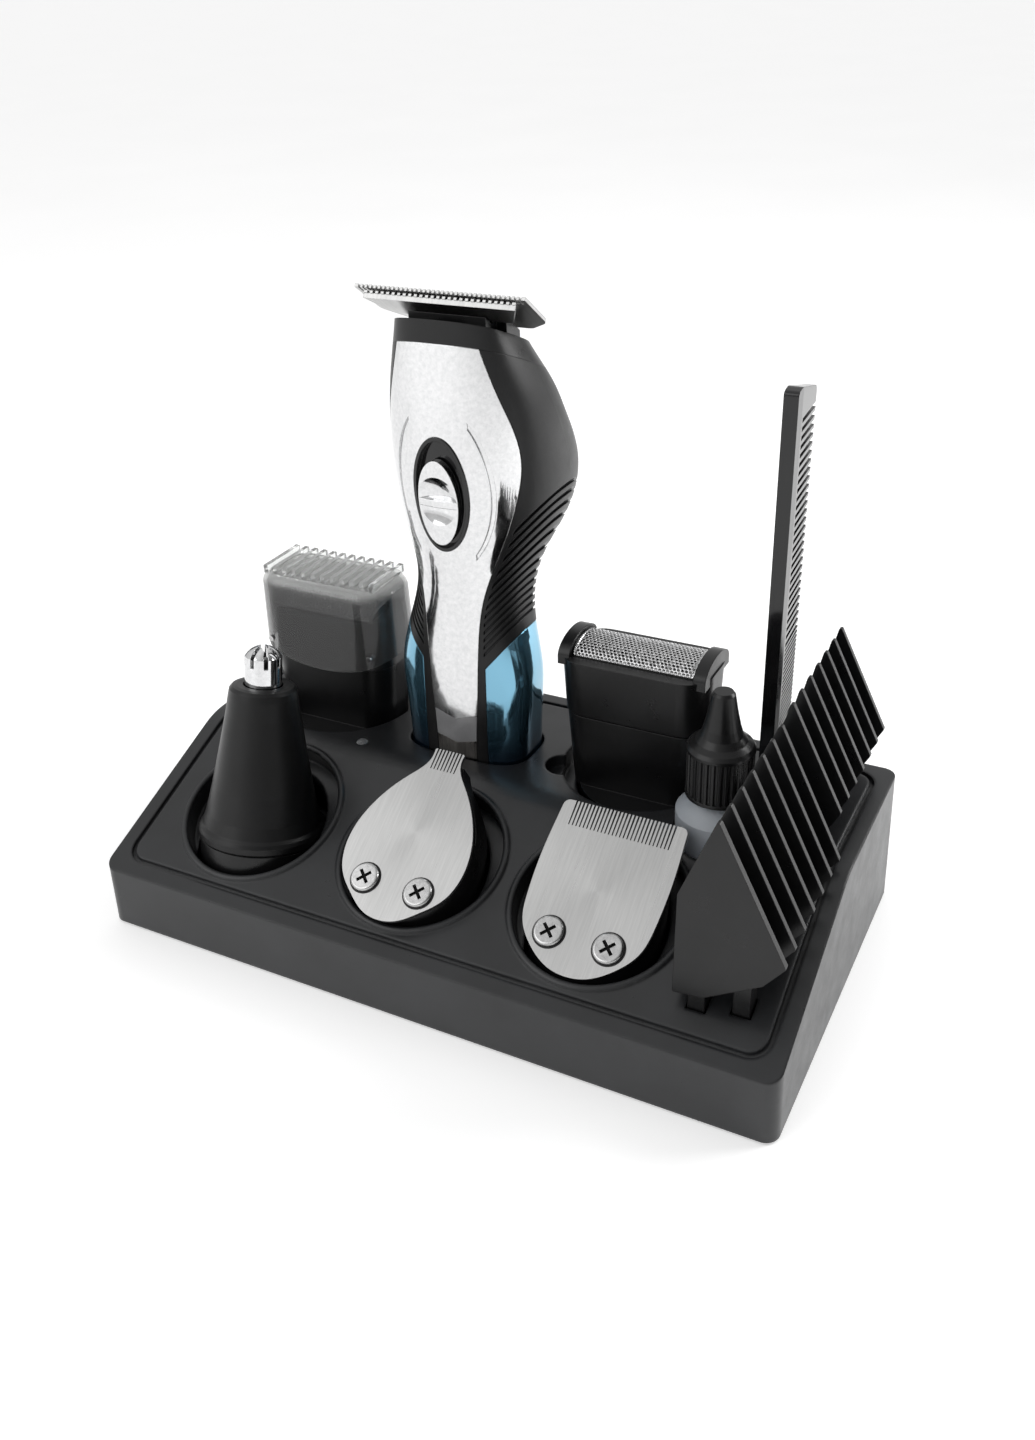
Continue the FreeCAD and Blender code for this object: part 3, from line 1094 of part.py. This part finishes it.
def guide_comb(y_first, first_t, fin, spine, posts, post_tops):
    """A clip-on guide comb: upright fins on a spine along Y, with locating posts below."""
    solids = []
    for i in range(FIN_COUNT):
        t = first_t if i == 0 else FIN_T
        solids.append(slab(fin, 0.5, on_xz(y_first + FIN_PITCH * i), V(0, t, 0)))
    length = FIN_PITCH * (FIN_COUNT - 1) + FIN_T
    solids.append(slab(spine, 0.4, on_xz(y_first + 0.4), V(0, length - 0.4, 0)))
    comb = join(solids)
    # the underside follows the deck, and there is room for the oil bottle beside it
    comb = comb.cut(stand_profile(-0.8, 0).common(box(50, 110, -60, 60, 0, 60)))
    comb = comb.cut(rod(V(OIL_X, OIL_Y, TIER_H - 20), OIL_R + 0.8, 80))
    pegs = []
    for (x0, x1, y0, y1), top in zip(posts, post_tops):
        pegs.append(box(x0, x1, y0, y1, slope_z(y0) - POST_DEPTH, top))
    return comb.fuse(pegs).removeSplitter()


def guide_combs():
    fin = [(66.5, 54.2), (66.0, 26.6), (73.2, 27.2), (86.6, 35.6), (91.3, 42.0), (74.8, 75.7)]
    spine = [(66.5, 53.8), (66.0, 26.8), (72.8, 27.6), (87.5, 37.2), (86.4, 39.2), (73.4, 33.2), (73.4, 53.8)]
    nodes["guide_comb_front"] = [guide_comb(-40.5, 1.6, fin, spine, FRONT_POSTS, (34.0, 40.0))]
    fin = [(70.2, 57.0), (68.4, 40.4), (78.0, 40.4), (86.5, 45.2), (88.8, 49.6), (74.8, 77.5)]
    spine = [(70.2, 56.8), (68.4, 40.4), (78.0, 40.4), (86.0, 45.0), (84.9, 46.9), (77.0, 42.6), (70.8, 42.6),
             (72.4, 56.8)]
    nodes["guide_comb_rear"] = [guide_comb(9.5, FIN_T, fin, spine, REAR_POSTS, (44.0, 44.0))]


# ---------------------------------------------------------------- build and write
def main():
    stand_shell()
    stand_base()
    indicator_lens()
    stand_electrics()
    handset_shells()
    inner_frame()
    power_train()
    t_head()
    nose_head()
    blade_head(SOCKET_X[1], "narrow", (-14.5, -2.9), NARROW_HALF, 0.5, 3.9, 32.6, 8, 3.4)
    blade_head(SOCKET_X[2], "wide", (-11.4, -4.4), WIDE_HALF, 1.8, 13.6, 27.4, 28, 13.0)
    foil_head()
    covered_head()
    oil_bottle()
    barber_comb()
    guide_combs()
    os.makedirs("parts", exist_ok=True)
    for name, solids in nodes.items():
        flat = [s for shape in solids for s in shape.Solids]
        shape = flat[0] if len(flat) == 1 else Part.makeCompound(flat)
        shape.exportStep("parts/" + name + ".step")
        b = shape.BoundBox
        print("%-26s solids %2d valid %s vol %9.1f  x %6.1f..%6.1f y %6.1f..%6.1f z %6.1f..%6.1f" % (
            name, len(flat), shape.isValid(), shape.Volume, b.XMin, b.XMax, b.YMin, b.YMax, b.ZMin, b.ZMax))


main()
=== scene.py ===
"""Looks for the docked beard trimmer set: camera, materials, foils, painted shade round the screws, floor and
light.

Metres, +Z up.
"""
import bpy
import bmesh
import json
import math
from mathutils import Matrix, Vector


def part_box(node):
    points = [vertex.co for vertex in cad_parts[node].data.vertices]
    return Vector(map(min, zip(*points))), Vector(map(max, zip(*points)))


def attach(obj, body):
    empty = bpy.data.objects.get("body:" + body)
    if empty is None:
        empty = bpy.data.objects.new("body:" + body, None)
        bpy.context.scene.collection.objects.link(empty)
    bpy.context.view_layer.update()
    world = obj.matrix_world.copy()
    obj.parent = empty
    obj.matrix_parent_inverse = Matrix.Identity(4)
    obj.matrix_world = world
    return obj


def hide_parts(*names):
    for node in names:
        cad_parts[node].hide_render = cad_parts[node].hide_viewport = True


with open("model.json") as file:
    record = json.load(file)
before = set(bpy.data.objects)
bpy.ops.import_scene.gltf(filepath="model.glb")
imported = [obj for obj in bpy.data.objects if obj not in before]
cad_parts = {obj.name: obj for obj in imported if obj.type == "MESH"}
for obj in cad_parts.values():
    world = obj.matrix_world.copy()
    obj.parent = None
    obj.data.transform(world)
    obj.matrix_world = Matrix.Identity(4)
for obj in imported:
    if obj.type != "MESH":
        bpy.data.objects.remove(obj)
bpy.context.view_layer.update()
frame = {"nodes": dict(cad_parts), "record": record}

nodes = frame["nodes"]
MM = 0.001
WHITE = (1, 1, 1, 1)

# ---------------------------------------------------------------- camera
CAMERA_AT = Vector((0.14270, -0.25108, 0.23049))
CAMERA_FORWARD = Vector((-0.40706, 0.75775, -0.51001))
CAMERA_UP = Vector((-0.20462, 0.46853, 0.85943))
CAMERA_LENS = 32.81
CAMERA_SENSOR = 36.0
CAMERA_NEAR = 0.01
CAMERA_FAR = 20.0


def make_camera():
    data = bpy.data.cameras.new("camera")
    data.sensor_width = CAMERA_SENSOR
    data.lens = CAMERA_LENS
    data.clip_start = CAMERA_NEAR
    data.clip_end = CAMERA_FAR
    camera = bpy.data.objects.new("camera", data)
    right = CAMERA_FORWARD.cross(CAMERA_UP).normalized()
    up = right.cross(CAMERA_FORWARD).normalized()
    back = -CAMERA_FORWARD.normalized()
    turn = Matrix((right, up, back)).transposed()
    camera.matrix_world = Matrix.Translation(CAMERA_AT) @ turn.to_4x4()
    bpy.context.scene.collection.objects.link(camera)
    bpy.context.scene.camera = camera


make_camera()


# ---------------------------------------------------------------- material helpers
class Nodes:
    """A material's node tree, with short calls for the nodes used here."""

    def __init__(self, name):
        self.material = bpy.data.materials.new(name)
        self.material.use_nodes = True
        self.tree = self.material.node_tree
        self.shader = self.tree.nodes["Principled BSDF"]
        self.coords = self.tree.nodes.new("ShaderNodeTexCoord").outputs["Object"]

    def set(self, **values):
        for key, value in values.items():
            socket = self.shader.inputs[key.replace("_", " ")]
            socket.default_value = value
        return self

    def node(self, kind, **settings):
        made = self.tree.nodes.new(kind)
        for key, value in settings.items():
            setattr(made, key, value)
        return made

    def link(self, source, target):
        self.tree.links.new(source, target)

    def object_height(self):
        """Height in the object's own coordinates."""
        split = self.node("ShaderNodeSeparateXYZ")
        self.link(self.coords, split.inputs["Vector"])
        return split.outputs["Z"]

    def stretched(self, stretch):
        mapping = self.node("ShaderNodeMapping")
        mapping.inputs["Scale"].default_value = stretch
        self.link(self.coords, mapping.inputs["Vector"])
        return mapping.outputs["Vector"]

    def noise(self, scale, detail=4.0, rough=0.55, stretch=(1, 1, 1)):
        made = self.node("ShaderNodeTexNoise")
        made.inputs["Scale"].default_value = scale
        made.inputs["Detail"].default_value = detail
        made.inputs["Roughness"].default_value = rough
        self.link(self.stretched(stretch), made.inputs["Vector"])
        return made.outputs["Fac"]

    def ramp(self, fac, low, high, start=0.3, end=0.7):
        made = self.node("ShaderNodeValToRGB")
        made.color_ramp.elements[0].position = start
        made.color_ramp.elements[0].color = tuple(low) + (1,)
        made.color_ramp.elements[1].position = end
        made.color_ramp.elements[1].color = tuple(high) + (1,)
        self.link(fac, made.inputs["Fac"])
        return made.outputs["Color"]

    def spread(self, fac, low, high, start=0.3, end=0.7):
        made = self.node("ShaderNodeMapRange")
        made.inputs["From Min"].default_value = start
        made.inputs["From Max"].default_value = end
        made.inputs["To Min"].default_value = low
        made.inputs["To Max"].default_value = high
        self.link(fac, made.inputs["Value"])
        return made.outputs["Result"]

    def colour(self, socket):
        self.link(socket, self.shader.inputs["Base Color"])

    def roughness(self, socket):
        self.link(socket, self.shader.inputs["Roughness"])

    def round_edges(self, radius):
        """Catches light along sharp edges as a real moulded or pressed edge does."""
        made = self.node("ShaderNodeBevel", samples=4)
        made.inputs["Radius"].default_value = radius
        self.link(made.outputs["Normal"], self.shader.inputs["Normal"])

    def bump(self, height, strength, distance):
        made = self.node("ShaderNodeBump")
        made.inputs["Strength"].default_value = strength
        made.inputs["Distance"].default_value = distance
        self.link(height, made.inputs["Height"])
        previous = self.shader.inputs["Normal"].links
        if previous:
            self.link(previous[0].from_socket, made.inputs["Normal"])
        self.link(made.outputs["Normal"], self.shader.inputs["Normal"])


# one row for each plastic: darker and lighter colour, smoothest and roughest polish, then what differs
PLASTICS = {
    "stand_plastic": ((0.0105, 0.011, 0.012), (0.018, 0.019, 0.021), 0.27, 0.36,
                      dict(grain=0.00004, grain_scale=2600, edge=1.0)),
    "rubber": ((0.02, 0.02, 0.02), (0.035, 0.035, 0.035), 0.7, 0.85, dict(grain=0.00006, grain_scale=1800)),
    "soft_black": ((0.004, 0.004, 0.0043), (0.0075, 0.0075, 0.008), 0.34, 0.43,
                   dict(grain=0.00003, grain_scale=4200, ior=1.4)),
    "black_plastic": ((0.004, 0.004, 0.0043), (0.007, 0.007, 0.0075), 0.26, 0.35,
                      dict(grain=0.00003, grain_scale=3200, ior=1.42)),
    "gloss_black": ((0.004, 0.004, 0.0045), (0.007, 0.007, 0.0075), 0.08, 0.15, {}),
    "inlet_plastic": ((0.006, 0.006, 0.006), (0.012, 0.012, 0.012), 0.2, 0.3, {}),
    "frame_plastic": ((0.1, 0.1, 0.11), (0.16, 0.16, 0.17), 0.4, 0.5, dict(grain=0.00003)),
    "smoke_window": ((0.16, 0.16, 0.165), (0.26, 0.26, 0.265), 0.08, 0.14, dict(coat=0.8)),
    "board": ((0.01, 0.07, 0.03), (0.02, 0.11, 0.05), 0.3, 0.4, {}),
    "battery_wrap": ((0.03, 0.18, 0.09), (0.05, 0.24, 0.12), 0.2, 0.3, {}),
    # dark_gap colours the painted shade pieces round the blade screws
    "dark_gap": ((0.004, 0.004, 0.004), (0.008, 0.008, 0.008), 0.5, 0.6, {}),
}

# the same for each metal
METALS = {
    "chrome": ((0.64, 0.645, 0.65), (0.76, 0.76, 0.765), 0.05, 0.10, dict(edge=0.3)),
    "brushed_trim": ((0.10, 0.095, 0.09), (0.20, 0.19, 0.18), 0.24, 0.36,
                     dict(stretch=(1, 1, 0.03), scratch=0.00002)),
    "blade_steel": ((0.44, 0.44, 0.437), (0.51, 0.51, 0.505), 0.26, 0.34,
                    dict(stretch=(1, 0.03, 0.03), scratch=0.000006, aniso=0.4, fine=2600)),
    "screw_steel": ((0.42, 0.42, 0.42), (0.56, 0.56, 0.56), 0.16, 0.26, {}),
    "zinc_screw": ((0.5, 0.5, 0.52), (0.62, 0.62, 0.64), 0.25, 0.38, {}),
    "motor_steel": ((0.5, 0.5, 0.5), (0.64, 0.64, 0.64), 0.25, 0.38, {}),
    "foil_steel": ((0.50, 0.50, 0.50), (0.82, 0.82, 0.83), 0.14, 0.26, {}),
    "contact_brass": ((0.62, 0.42, 0.16), (0.75, 0.54, 0.24), 0.2, 0.32, {}),
}
GRAIN_STRENGTH = 0.35
SCRATCH_STRENGTH = 0.3
COAT_ROUGHNESS = 0.06
# heights over which the blue panel's painted reflection goes from navy to light blue
PAINTED_REFLECTION_FADE = (40 * MM, 66 * MM)
COVER_FADE = (5.4 * MM, 3.4 * MM)


def plastic(name, low, high, rough_low, rough_high, grain=0.0, grain_scale=3000, ior=1.5, coat=0.0, edge=0.3):
    """Moulded plastic: faint mottling, uneven polish and a fine moulded grain. edge is in mm."""
    m = Nodes(name).set(IOR=ior)
    m.round_edges(edge * MM)
    m.colour(m.ramp(m.noise(60, 5), low, high))
    m.roughness(m.spread(m.noise(140, 6, 0.65), rough_low, rough_high))
    if grain:
        m.bump(m.noise(grain_scale, 3, 0.6), GRAIN_STRENGTH, grain)
    if coat:
        m.set(Coat_Weight=coat, Coat_Roughness=COAT_ROUGHNESS)
    return m


def metal(name, low, high, rough_low, rough_high,
          stretch=(1, 1, 1), scratch=0.0, aniso=0.0, edge=0.15, fine=900):
    """Metal with a directional grain. edge is in mm."""
    m = Nodes(name).set(Metallic=1.0, Anisotropic=aniso)
    m.round_edges(edge * MM)
    grain = m.noise(fine, 6, 0.7, stretch)
    m.colour(m.ramp(grain, low, high, 0.35, 0.65))
    m.roughness(m.spread(m.noise(500, 5, 0.7, stretch), rough_low, rough_high))
    if scratch:
        m.bump(grain, SCRATCH_STRENGTH, scratch)
    return m


def tinted_panel():
    """Mirrored blue panel with a painted reflection: navy at the foot and light blue above, in place of its
    dark and bright reflections.
    """
    m = Nodes("tinted_panel").set(Metallic=0.9, Coat_Weight=0.6, Coat_Roughness=0.03, IOR=1.5)
    m.round_edges(0.3 * MM)
    # painted reflection: colour rises with height from navy to light blue, mixed with random mottling
    height = m.spread(m.object_height(), 0.0, 1.0, *PAINTED_REFLECTION_FADE)
    mottle_and_painted_reflection = m.node("ShaderNodeMath", operation="MULTIPLY_ADD")
    m.link(m.noise(70, 3), mottle_and_painted_reflection.inputs[0])
    mottle_and_painted_reflection.inputs[1].default_value = 0.5
    m.link(height, mottle_and_painted_reflection.inputs[2])
    m.colour(m.ramp(mottle_and_painted_reflection.outputs[0], (0.020, 0.045, 0.085), (0.19, 0.43, 0.58), 0.2, 1.2))
    m.roughness(m.spread(m.noise(300, 4), 0.06, 0.12))
    return m


def clear_cover():
    """Smoky clear plastic; its colour goes from dark grey to near white over the top ribs."""
    m = Nodes("clear_cover").set(Transmission_Weight=0.86, IOR=1.35)
    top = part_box("shaver_cover")[1].z
    height = m.spread(m.object_height(), 0.0, 1.0, top - COVER_FADE[0], top - COVER_FADE[1])
    m.colour(m.ramp(height, (0.25, 0.25, 0.25), (0.96, 0.97, 0.96), 0.0, 1.0))
    m.roughness(m.spread(m.noise(220, 5), 0.03, 0.08))
    return m


def bottle_plastic():
    m = Nodes("bottle_plastic").set(Transmission_Weight=0.6, IOR=1.4)
    m.colour(m.ramp(m.noise(80, 4), (0.56, 0.60, 0.66), (0.72, 0.76, 0.80)))
    m.roughness(m.spread(m.noise(160, 5), 0.3, 0.45))
    return m


def indicator_lens():
    m = Nodes("lens").set(Transmission_Weight=0.8, IOR=1.45)
    m.colour(m.ramp(m.noise(200), (0.6, 0.62, 0.64), (0.75, 0.77, 0.78)))
    m.roughness(m.spread(m.noise(300), 0.08, 0.14))
    return m


def make_materials():
    made = {}
    for make, table in ((plastic, PLASTICS), (metal, METALS)):
        for name, (low, high, rough_low, rough_high, rest) in table.items():
            made[name] = make(name, low, high, rough_low, rough_high, **rest)
    made["tinted_panel"] = tinted_panel()
    made["clear_cover"] = clear_cover()
    made["bottle_plastic"] = bottle_plastic()
    made["lens"] = indicator_lens()
    return {name: m.material for name, m in made.items()}


materials = make_materials()
slot_of = {row["node"]: row["material_slot"] for row in frame["record"]["subparts"]}
for name, node in nodes.items():
    node.data.materials.clear()
    node.data.materials.append(materials[slot_of[name]])


# ---------------------------------------------------------------- fine pieces
def add_mesh(name, bm, material, body, thickness=0.0):
    """Makes an object that rides a body, from a bmesh in world coordinates."""
    mesh = bpy.data.meshes.new(name)
    bm.to_mesh(mesh)
    bm.free()
    for polygon in mesh.polygons:
        polygon.use_smooth = True
    obj = bpy.data.objects.new(name, mesh)
    bpy.context.scene.collection.objects.link(obj)
    mesh.materials.append(materials[material])
    if thickness:
        wall = obj.modifiers.new("wall", "SOLIDIFY")
        wall.thickness = thickness
        wall.offset = -1.0
    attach(obj, body)
    return obj


FOIL_PITCH = 1.05 * MM
FOIL_WALL = 0.07 * MM
FOIL_INSET = 0.05 * MM
FOIL_BAND = 0.9 * MM
FOIL_MARGIN = 1.6 * MM
HOLE_SHARE = 0.62
WELD = 0.004 * MM
ARCH_STEPS = 400
BAND_STEPS = 24


def perforated_foil(name, replaced, body):
    """Shaver foil: a thin arch with rows of six-sided holes, in the place of the plain one."""
    low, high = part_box(replaced)
    z_low = low.z
    centre_x = (low.x + high.x) / 2
    centre_y = (low.y + high.y) / 2
    radius = (high.y - low.y) / 2 - FOIL_INSET
    rise = high.z - z_low - FOIL_INSET
    half = (high.x - low.x) / 2 - FOIL_INSET
    row_pitch = FOIL_PITCH * math.sqrt(3) / 2
    # distance run along the arch at evenly spaced angles
    fine = [math.pi * k / ARCH_STEPS for k in range(ARCH_STEPS + 1)]
    run = [0.0]
    for a, b in zip(fine, fine[1:]):
        across = radius * (math.cos(a) - math.cos(b))
        upward = rise * (math.sin(b) - math.sin(a))
        run.append(run[-1] + math.hypot(across, upward))
    length = run[-1]

    def on_arch(u, v):
        v = min(max(v, 0.0), length)
        k = next(i for i, r in enumerate(run) if r >= v)
        angle = fine[k]
        if k:
            share = (v - run[k - 1]) / (run[k] - run[k - 1])
            angle = fine[k - 1] + share * (fine[k] - fine[k - 1])
        u = min(max(u, -half), half)
        return Vector((centre_x + u, centre_y - radius * math.cos(angle), z_low + rise * math.sin(angle)))

    bm = bmesh.new()
    made = {}

    def shared_vertex(u, v):
        key = (round(u / WELD), round(v / WELD))
        if key not in made:
            made[key] = bm.verts.new(on_arch(u, v))
        return made[key]

    rows = int((length - FOIL_MARGIN) / row_pitch)
    columns = int((2 * half - FOIL_MARGIN) / FOIL_PITCH)
    start_v = (length - rows * row_pitch) / 2
    start_u = -columns * FOIL_PITCH / 2
    outer_r = FOIL_PITCH / math.sqrt(3)
    inner_r = HOLE_SHARE * outer_r
    spokes = [(math.cos(math.pi * (k / 3 + 1 / 6)), math.sin(math.pi * (k / 3 + 1 / 6))) for k in range(6)]
    for row in range(rows + 1):
        for column in range(columns + 1 - row % 2):
            u = start_u + FOIL_PITCH * (column + 0.5 * (row % 2))
            v = start_v + row_pitch * row
            outer = [shared_vertex(u + outer_r * c, v + outer_r * s) for c, s in spokes]
            inner = [bm.verts.new(on_arch(u + inner_r * c, v + inner_r * s)) for c, s in spokes]
            for k in range(6):
                n = (k + 1) % 6
                quad = [outer[k], outer[n], inner[n], inner[k]]
                if len(set(quad)) == 4:
                    bm.faces.new(quad)
    # plain strips along both sides and both ends
    strips = [(-half, half, 0.0, FOIL_BAND), (-half, half, length - FOIL_BAND, length)]
    strips += [(-half, -half + FOIL_BAND, 0.0, length), (half - FOIL_BAND, half, 0.0, length)]
    for u0, u1, v0, v1 in strips:
        ring = []
        for k in range(BAND_STEPS + 1):
            share = k / BAND_STEPS
            if u1 - u0 > v1 - v0:
                a, b = (u0 + (u1 - u0) * share, v0), (u0 + (u1 - u0) * share, v1)
            else:
                a, b = (u0, v0 + (v1 - v0) * share), (u1, v0 + (v1 - v0) * share)
            ring.append((bm.verts.new(on_arch(*a)), bm.verts.new(on_arch(*b))))
        for (a, b), (c, d) in zip(ring, ring[1:]):
            bm.faces.new([a, c, d, b])
    bmesh.ops.recalc_face_normals(bm, faces=bm.faces)
    obj = add_mesh(name, bm, "foil_steel", body, FOIL_WALL)
    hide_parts(replaced)


SCREW_HEAD_R = 3.8 * MM
SCREW_HEAD_H = 1.2 * MM
RECESS_FLOOR = 0.42 * MM
RECESS_HALF_L = 2.0 * MM
RECESS_HALF_W = 0.39 * MM
RECESS_SKIN = (0.01 * MM, 0.13 * MM)
# radius past the head and height over the seat, from the inside of the ring to its outside
RING_PROFILE = ((-0.05, 0.02), (0.08, 0.12), (0.38, 0.10), (0.45, 0.01))
RING_STEPS = 64


def screw_frames(node):
    """Centre of the seat and axis of each of the two screws in a node."""
    source = nodes[node]
    turn = source.matrix_world.to_3x3()
    area = {}
    for polygon in source.data.polygons:
        normal = (turn @ polygon.normal).normalized()
        if normal.z > 0.2:
            key = tuple(round(c, 2) for c in normal)
            area[key] = area.get(key, 0.0) + polygon.area
    axis = Vector(max(sorted(area), key=area.get)).normalized()
    points = [source.matrix_world @ v.co for v in source.data.vertices]
    low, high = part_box(node)
    middle = (low.x + high.x) / 2
    for side in (-1, 1):
        own = [p for p in points if (p.x - middle) * side > 0]
        level = max(p.dot(axis) for p in own) - SCREW_HEAD_H
        spread = [p - axis * p.dot(axis) for p in own]
        xs = [p.x for p in spread]
        ys = [p.y for p in spread]
        zs = [p.z for p in spread]
        centre = Vector(((min(xs) + max(xs)) / 2, (min(ys) + max(ys)) / 2, (min(zs) + max(zs)) / 2))
        yield centre + axis * level, axis


def screw_painted_shade(node, body):
    """Painted shade round each blade screw: a dark ring round the head on its seat and a dark floor in its
    cross recess, where shadow falls.
    """
    painted_shade_rings = bmesh.new()
    painted_recess_shade = bmesh.new()
    for seat, axis in screw_frames(node):
        side = Vector((1, 0, 0))
        up = axis.cross(side).normalized()
        loops = []
        for past_head, over_seat in RING_PROFILE:
            radius = SCREW_HEAD_R + past_head * MM
            height = over_seat * MM
            angles = [2 * math.pi * k / RING_STEPS for k in range(RING_STEPS)]
            spokes = [side * (radius * math.cos(a)) + up * (radius * math.sin(a)) for a in angles]
            loops.append([painted_shade_rings.verts.new(seat + axis * height + spoke) for spoke in spokes])
        for k in range(RING_STEPS):
            n = (k + 1) % RING_STEPS
            for inner, outer in zip(loops, loops[1:]):
                painted_shade_rings.faces.new([inner[k], outer[k], outer[n], inner[n]])
        for angle in (45, 135):
            along = side * math.cos(math.radians(angle)) + up * math.sin(math.radians(angle))
            across = axis.cross(along)
            corners = []
            for skin in RECESS_SKIN:
                for a, b in ((-1, -1), (1, -1), (1, 1), (-1, 1)):
                    offset = along * (a * RECESS_HALF_L) + across * (b * RECESS_HALF_W)
                    corners.append(painted_recess_shade.verts.new(seat + axis * (RECESS_FLOOR + skin) + offset))
            painted_recess_shade.faces.new(corners[3::-1])
            painted_recess_shade.faces.new(corners[4:])
            for k in range(4):
                n = (k + 1) % 4
                painted_recess_shade.faces.new([corners[k], corners[n], corners[n + 4], corners[k + 4]])
    # painted shade: dark pieces in place of the shadow in the seat groove and the cross recess
    add_mesh(node + "_rings", painted_shade_rings, "dark_gap", body)
    add_mesh(node + "_recess", painted_recess_shade, "dark_gap", body)


for head in ("t", "narrow", "wide"):
    screw_painted_shade(head + "_blade_screws", head + "_head")
perforated_foil("foil_head_mesh", "shaver_foil", "foil_head")
perforated_foil("covered_head_mesh", "covered_head_foil", "covered_head")


# ---------------------------------------------------------------- floor and light
FLOOR_SIZE = 30.0
FLOOR_GLOW = 0.37
HORIZON = 0.62
ZENITH = 0.86
DARK_SIDE = 0.22
DARK_SIDE_X = (-0.15, 0.75)


def make_floor():
    bpy.ops.mesh.primitive_plane_add(size=FLOOR_SIZE, location=(0, 0, 0))
    floor = bpy.context.object
    floor.name = "floor"
    m = Nodes("floor_paper").set(IOR=1.3, Emission_Strength=FLOOR_GLOW, Emission_Color=WHITE)
    m.colour(m.ramp(m.noise(6, 3), (0.90, 0.90, 0.90), (0.93, 0.93, 0.93)))
    m.roughness(m.spread(m.noise(20, 3), 0.75, 0.85))
    floor.data.materials.append(m.material)


def make_world():
    """White backdrop. Reflections see a softer sky that darkens towards +X."""
    world = bpy.data.worlds.new("studio")
    world.use_nodes = True
    tree = world.node_tree
    make, link = tree.nodes.new, tree.links.new
    coords = make("ShaderNodeTexCoord")
    split = make("ShaderNodeSeparateXYZ")
    link(coords.outputs["Generated"], split.inputs["Vector"])
    sky = make("ShaderNodeValToRGB")
    for stop, position, level in zip(sky.color_ramp.elements, (0.0, 0.9), (HORIZON, ZENITH)):
        stop.position = position
        stop.color = (level, level, level, 1)
    link(split.outputs["Z"], sky.inputs["Fac"])
    side = make("ShaderNodeMapRange")
    side.inputs["From Min"].default_value, side.inputs["From Max"].default_value = DARK_SIDE_X
    side.inputs["To Min"].default_value = 1.0
    side.inputs["To Max"].default_value = DARK_SIDE
    link(split.outputs["X"], side.inputs["Value"])
    shade = make("ShaderNodeMix")
    shade.data_type = "RGBA"
    shade.blend_type = "MULTIPLY"
    shade.inputs["Factor"].default_value = 1.0
    # sockets 6, 7 and output 2 are the colour ones of a mix node
    link(sky.outputs["Color"], shade.inputs[6])
    link(side.outputs["Result"], shade.inputs[7])
    seen = make("ShaderNodeLightPath")
    mix = make("ShaderNodeMix")
    mix.data_type = "RGBA"
    link(seen.outputs["Is Camera Ray"], mix.inputs["Factor"])
    link(shade.outputs[2], mix.inputs[6])
    mix.inputs[7].default_value = WHITE
    background = tree.nodes["Background"]
    link(mix.outputs[2], background.inputs["Color"])
    background.inputs["Strength"].default_value = 1.0
    bpy.context.scene.world = world


LIGHT_AIM = Vector((0, 0, 0.05))


def soft_light(name, at, size, power):
    data = bpy.data.lights.new(name, "AREA")
    data.shape = "RECTANGLE"
    data.size = size
    data.size_y = size
    data.energy = power
    lamp = bpy.data.objects.new(name, data)
    lamp.location = at
    lamp.rotation_mode = "QUATERNION"
    lamp.rotation_quaternion = (LIGHT_AIM - Vector(at)).to_track_quat("-Z", "Y")
    bpy.context.scene.collection.objects.link(lamp)


make_floor()
make_world()
soft_light("key_light", (-0.60, -0.75, 0.70), 0.9, 3.4)
soft_light("rim_light", (0.55, 0.45, 0.40), 0.40, 4.0)
bpy.context.scene.view_settings.view_transform = "Standard"
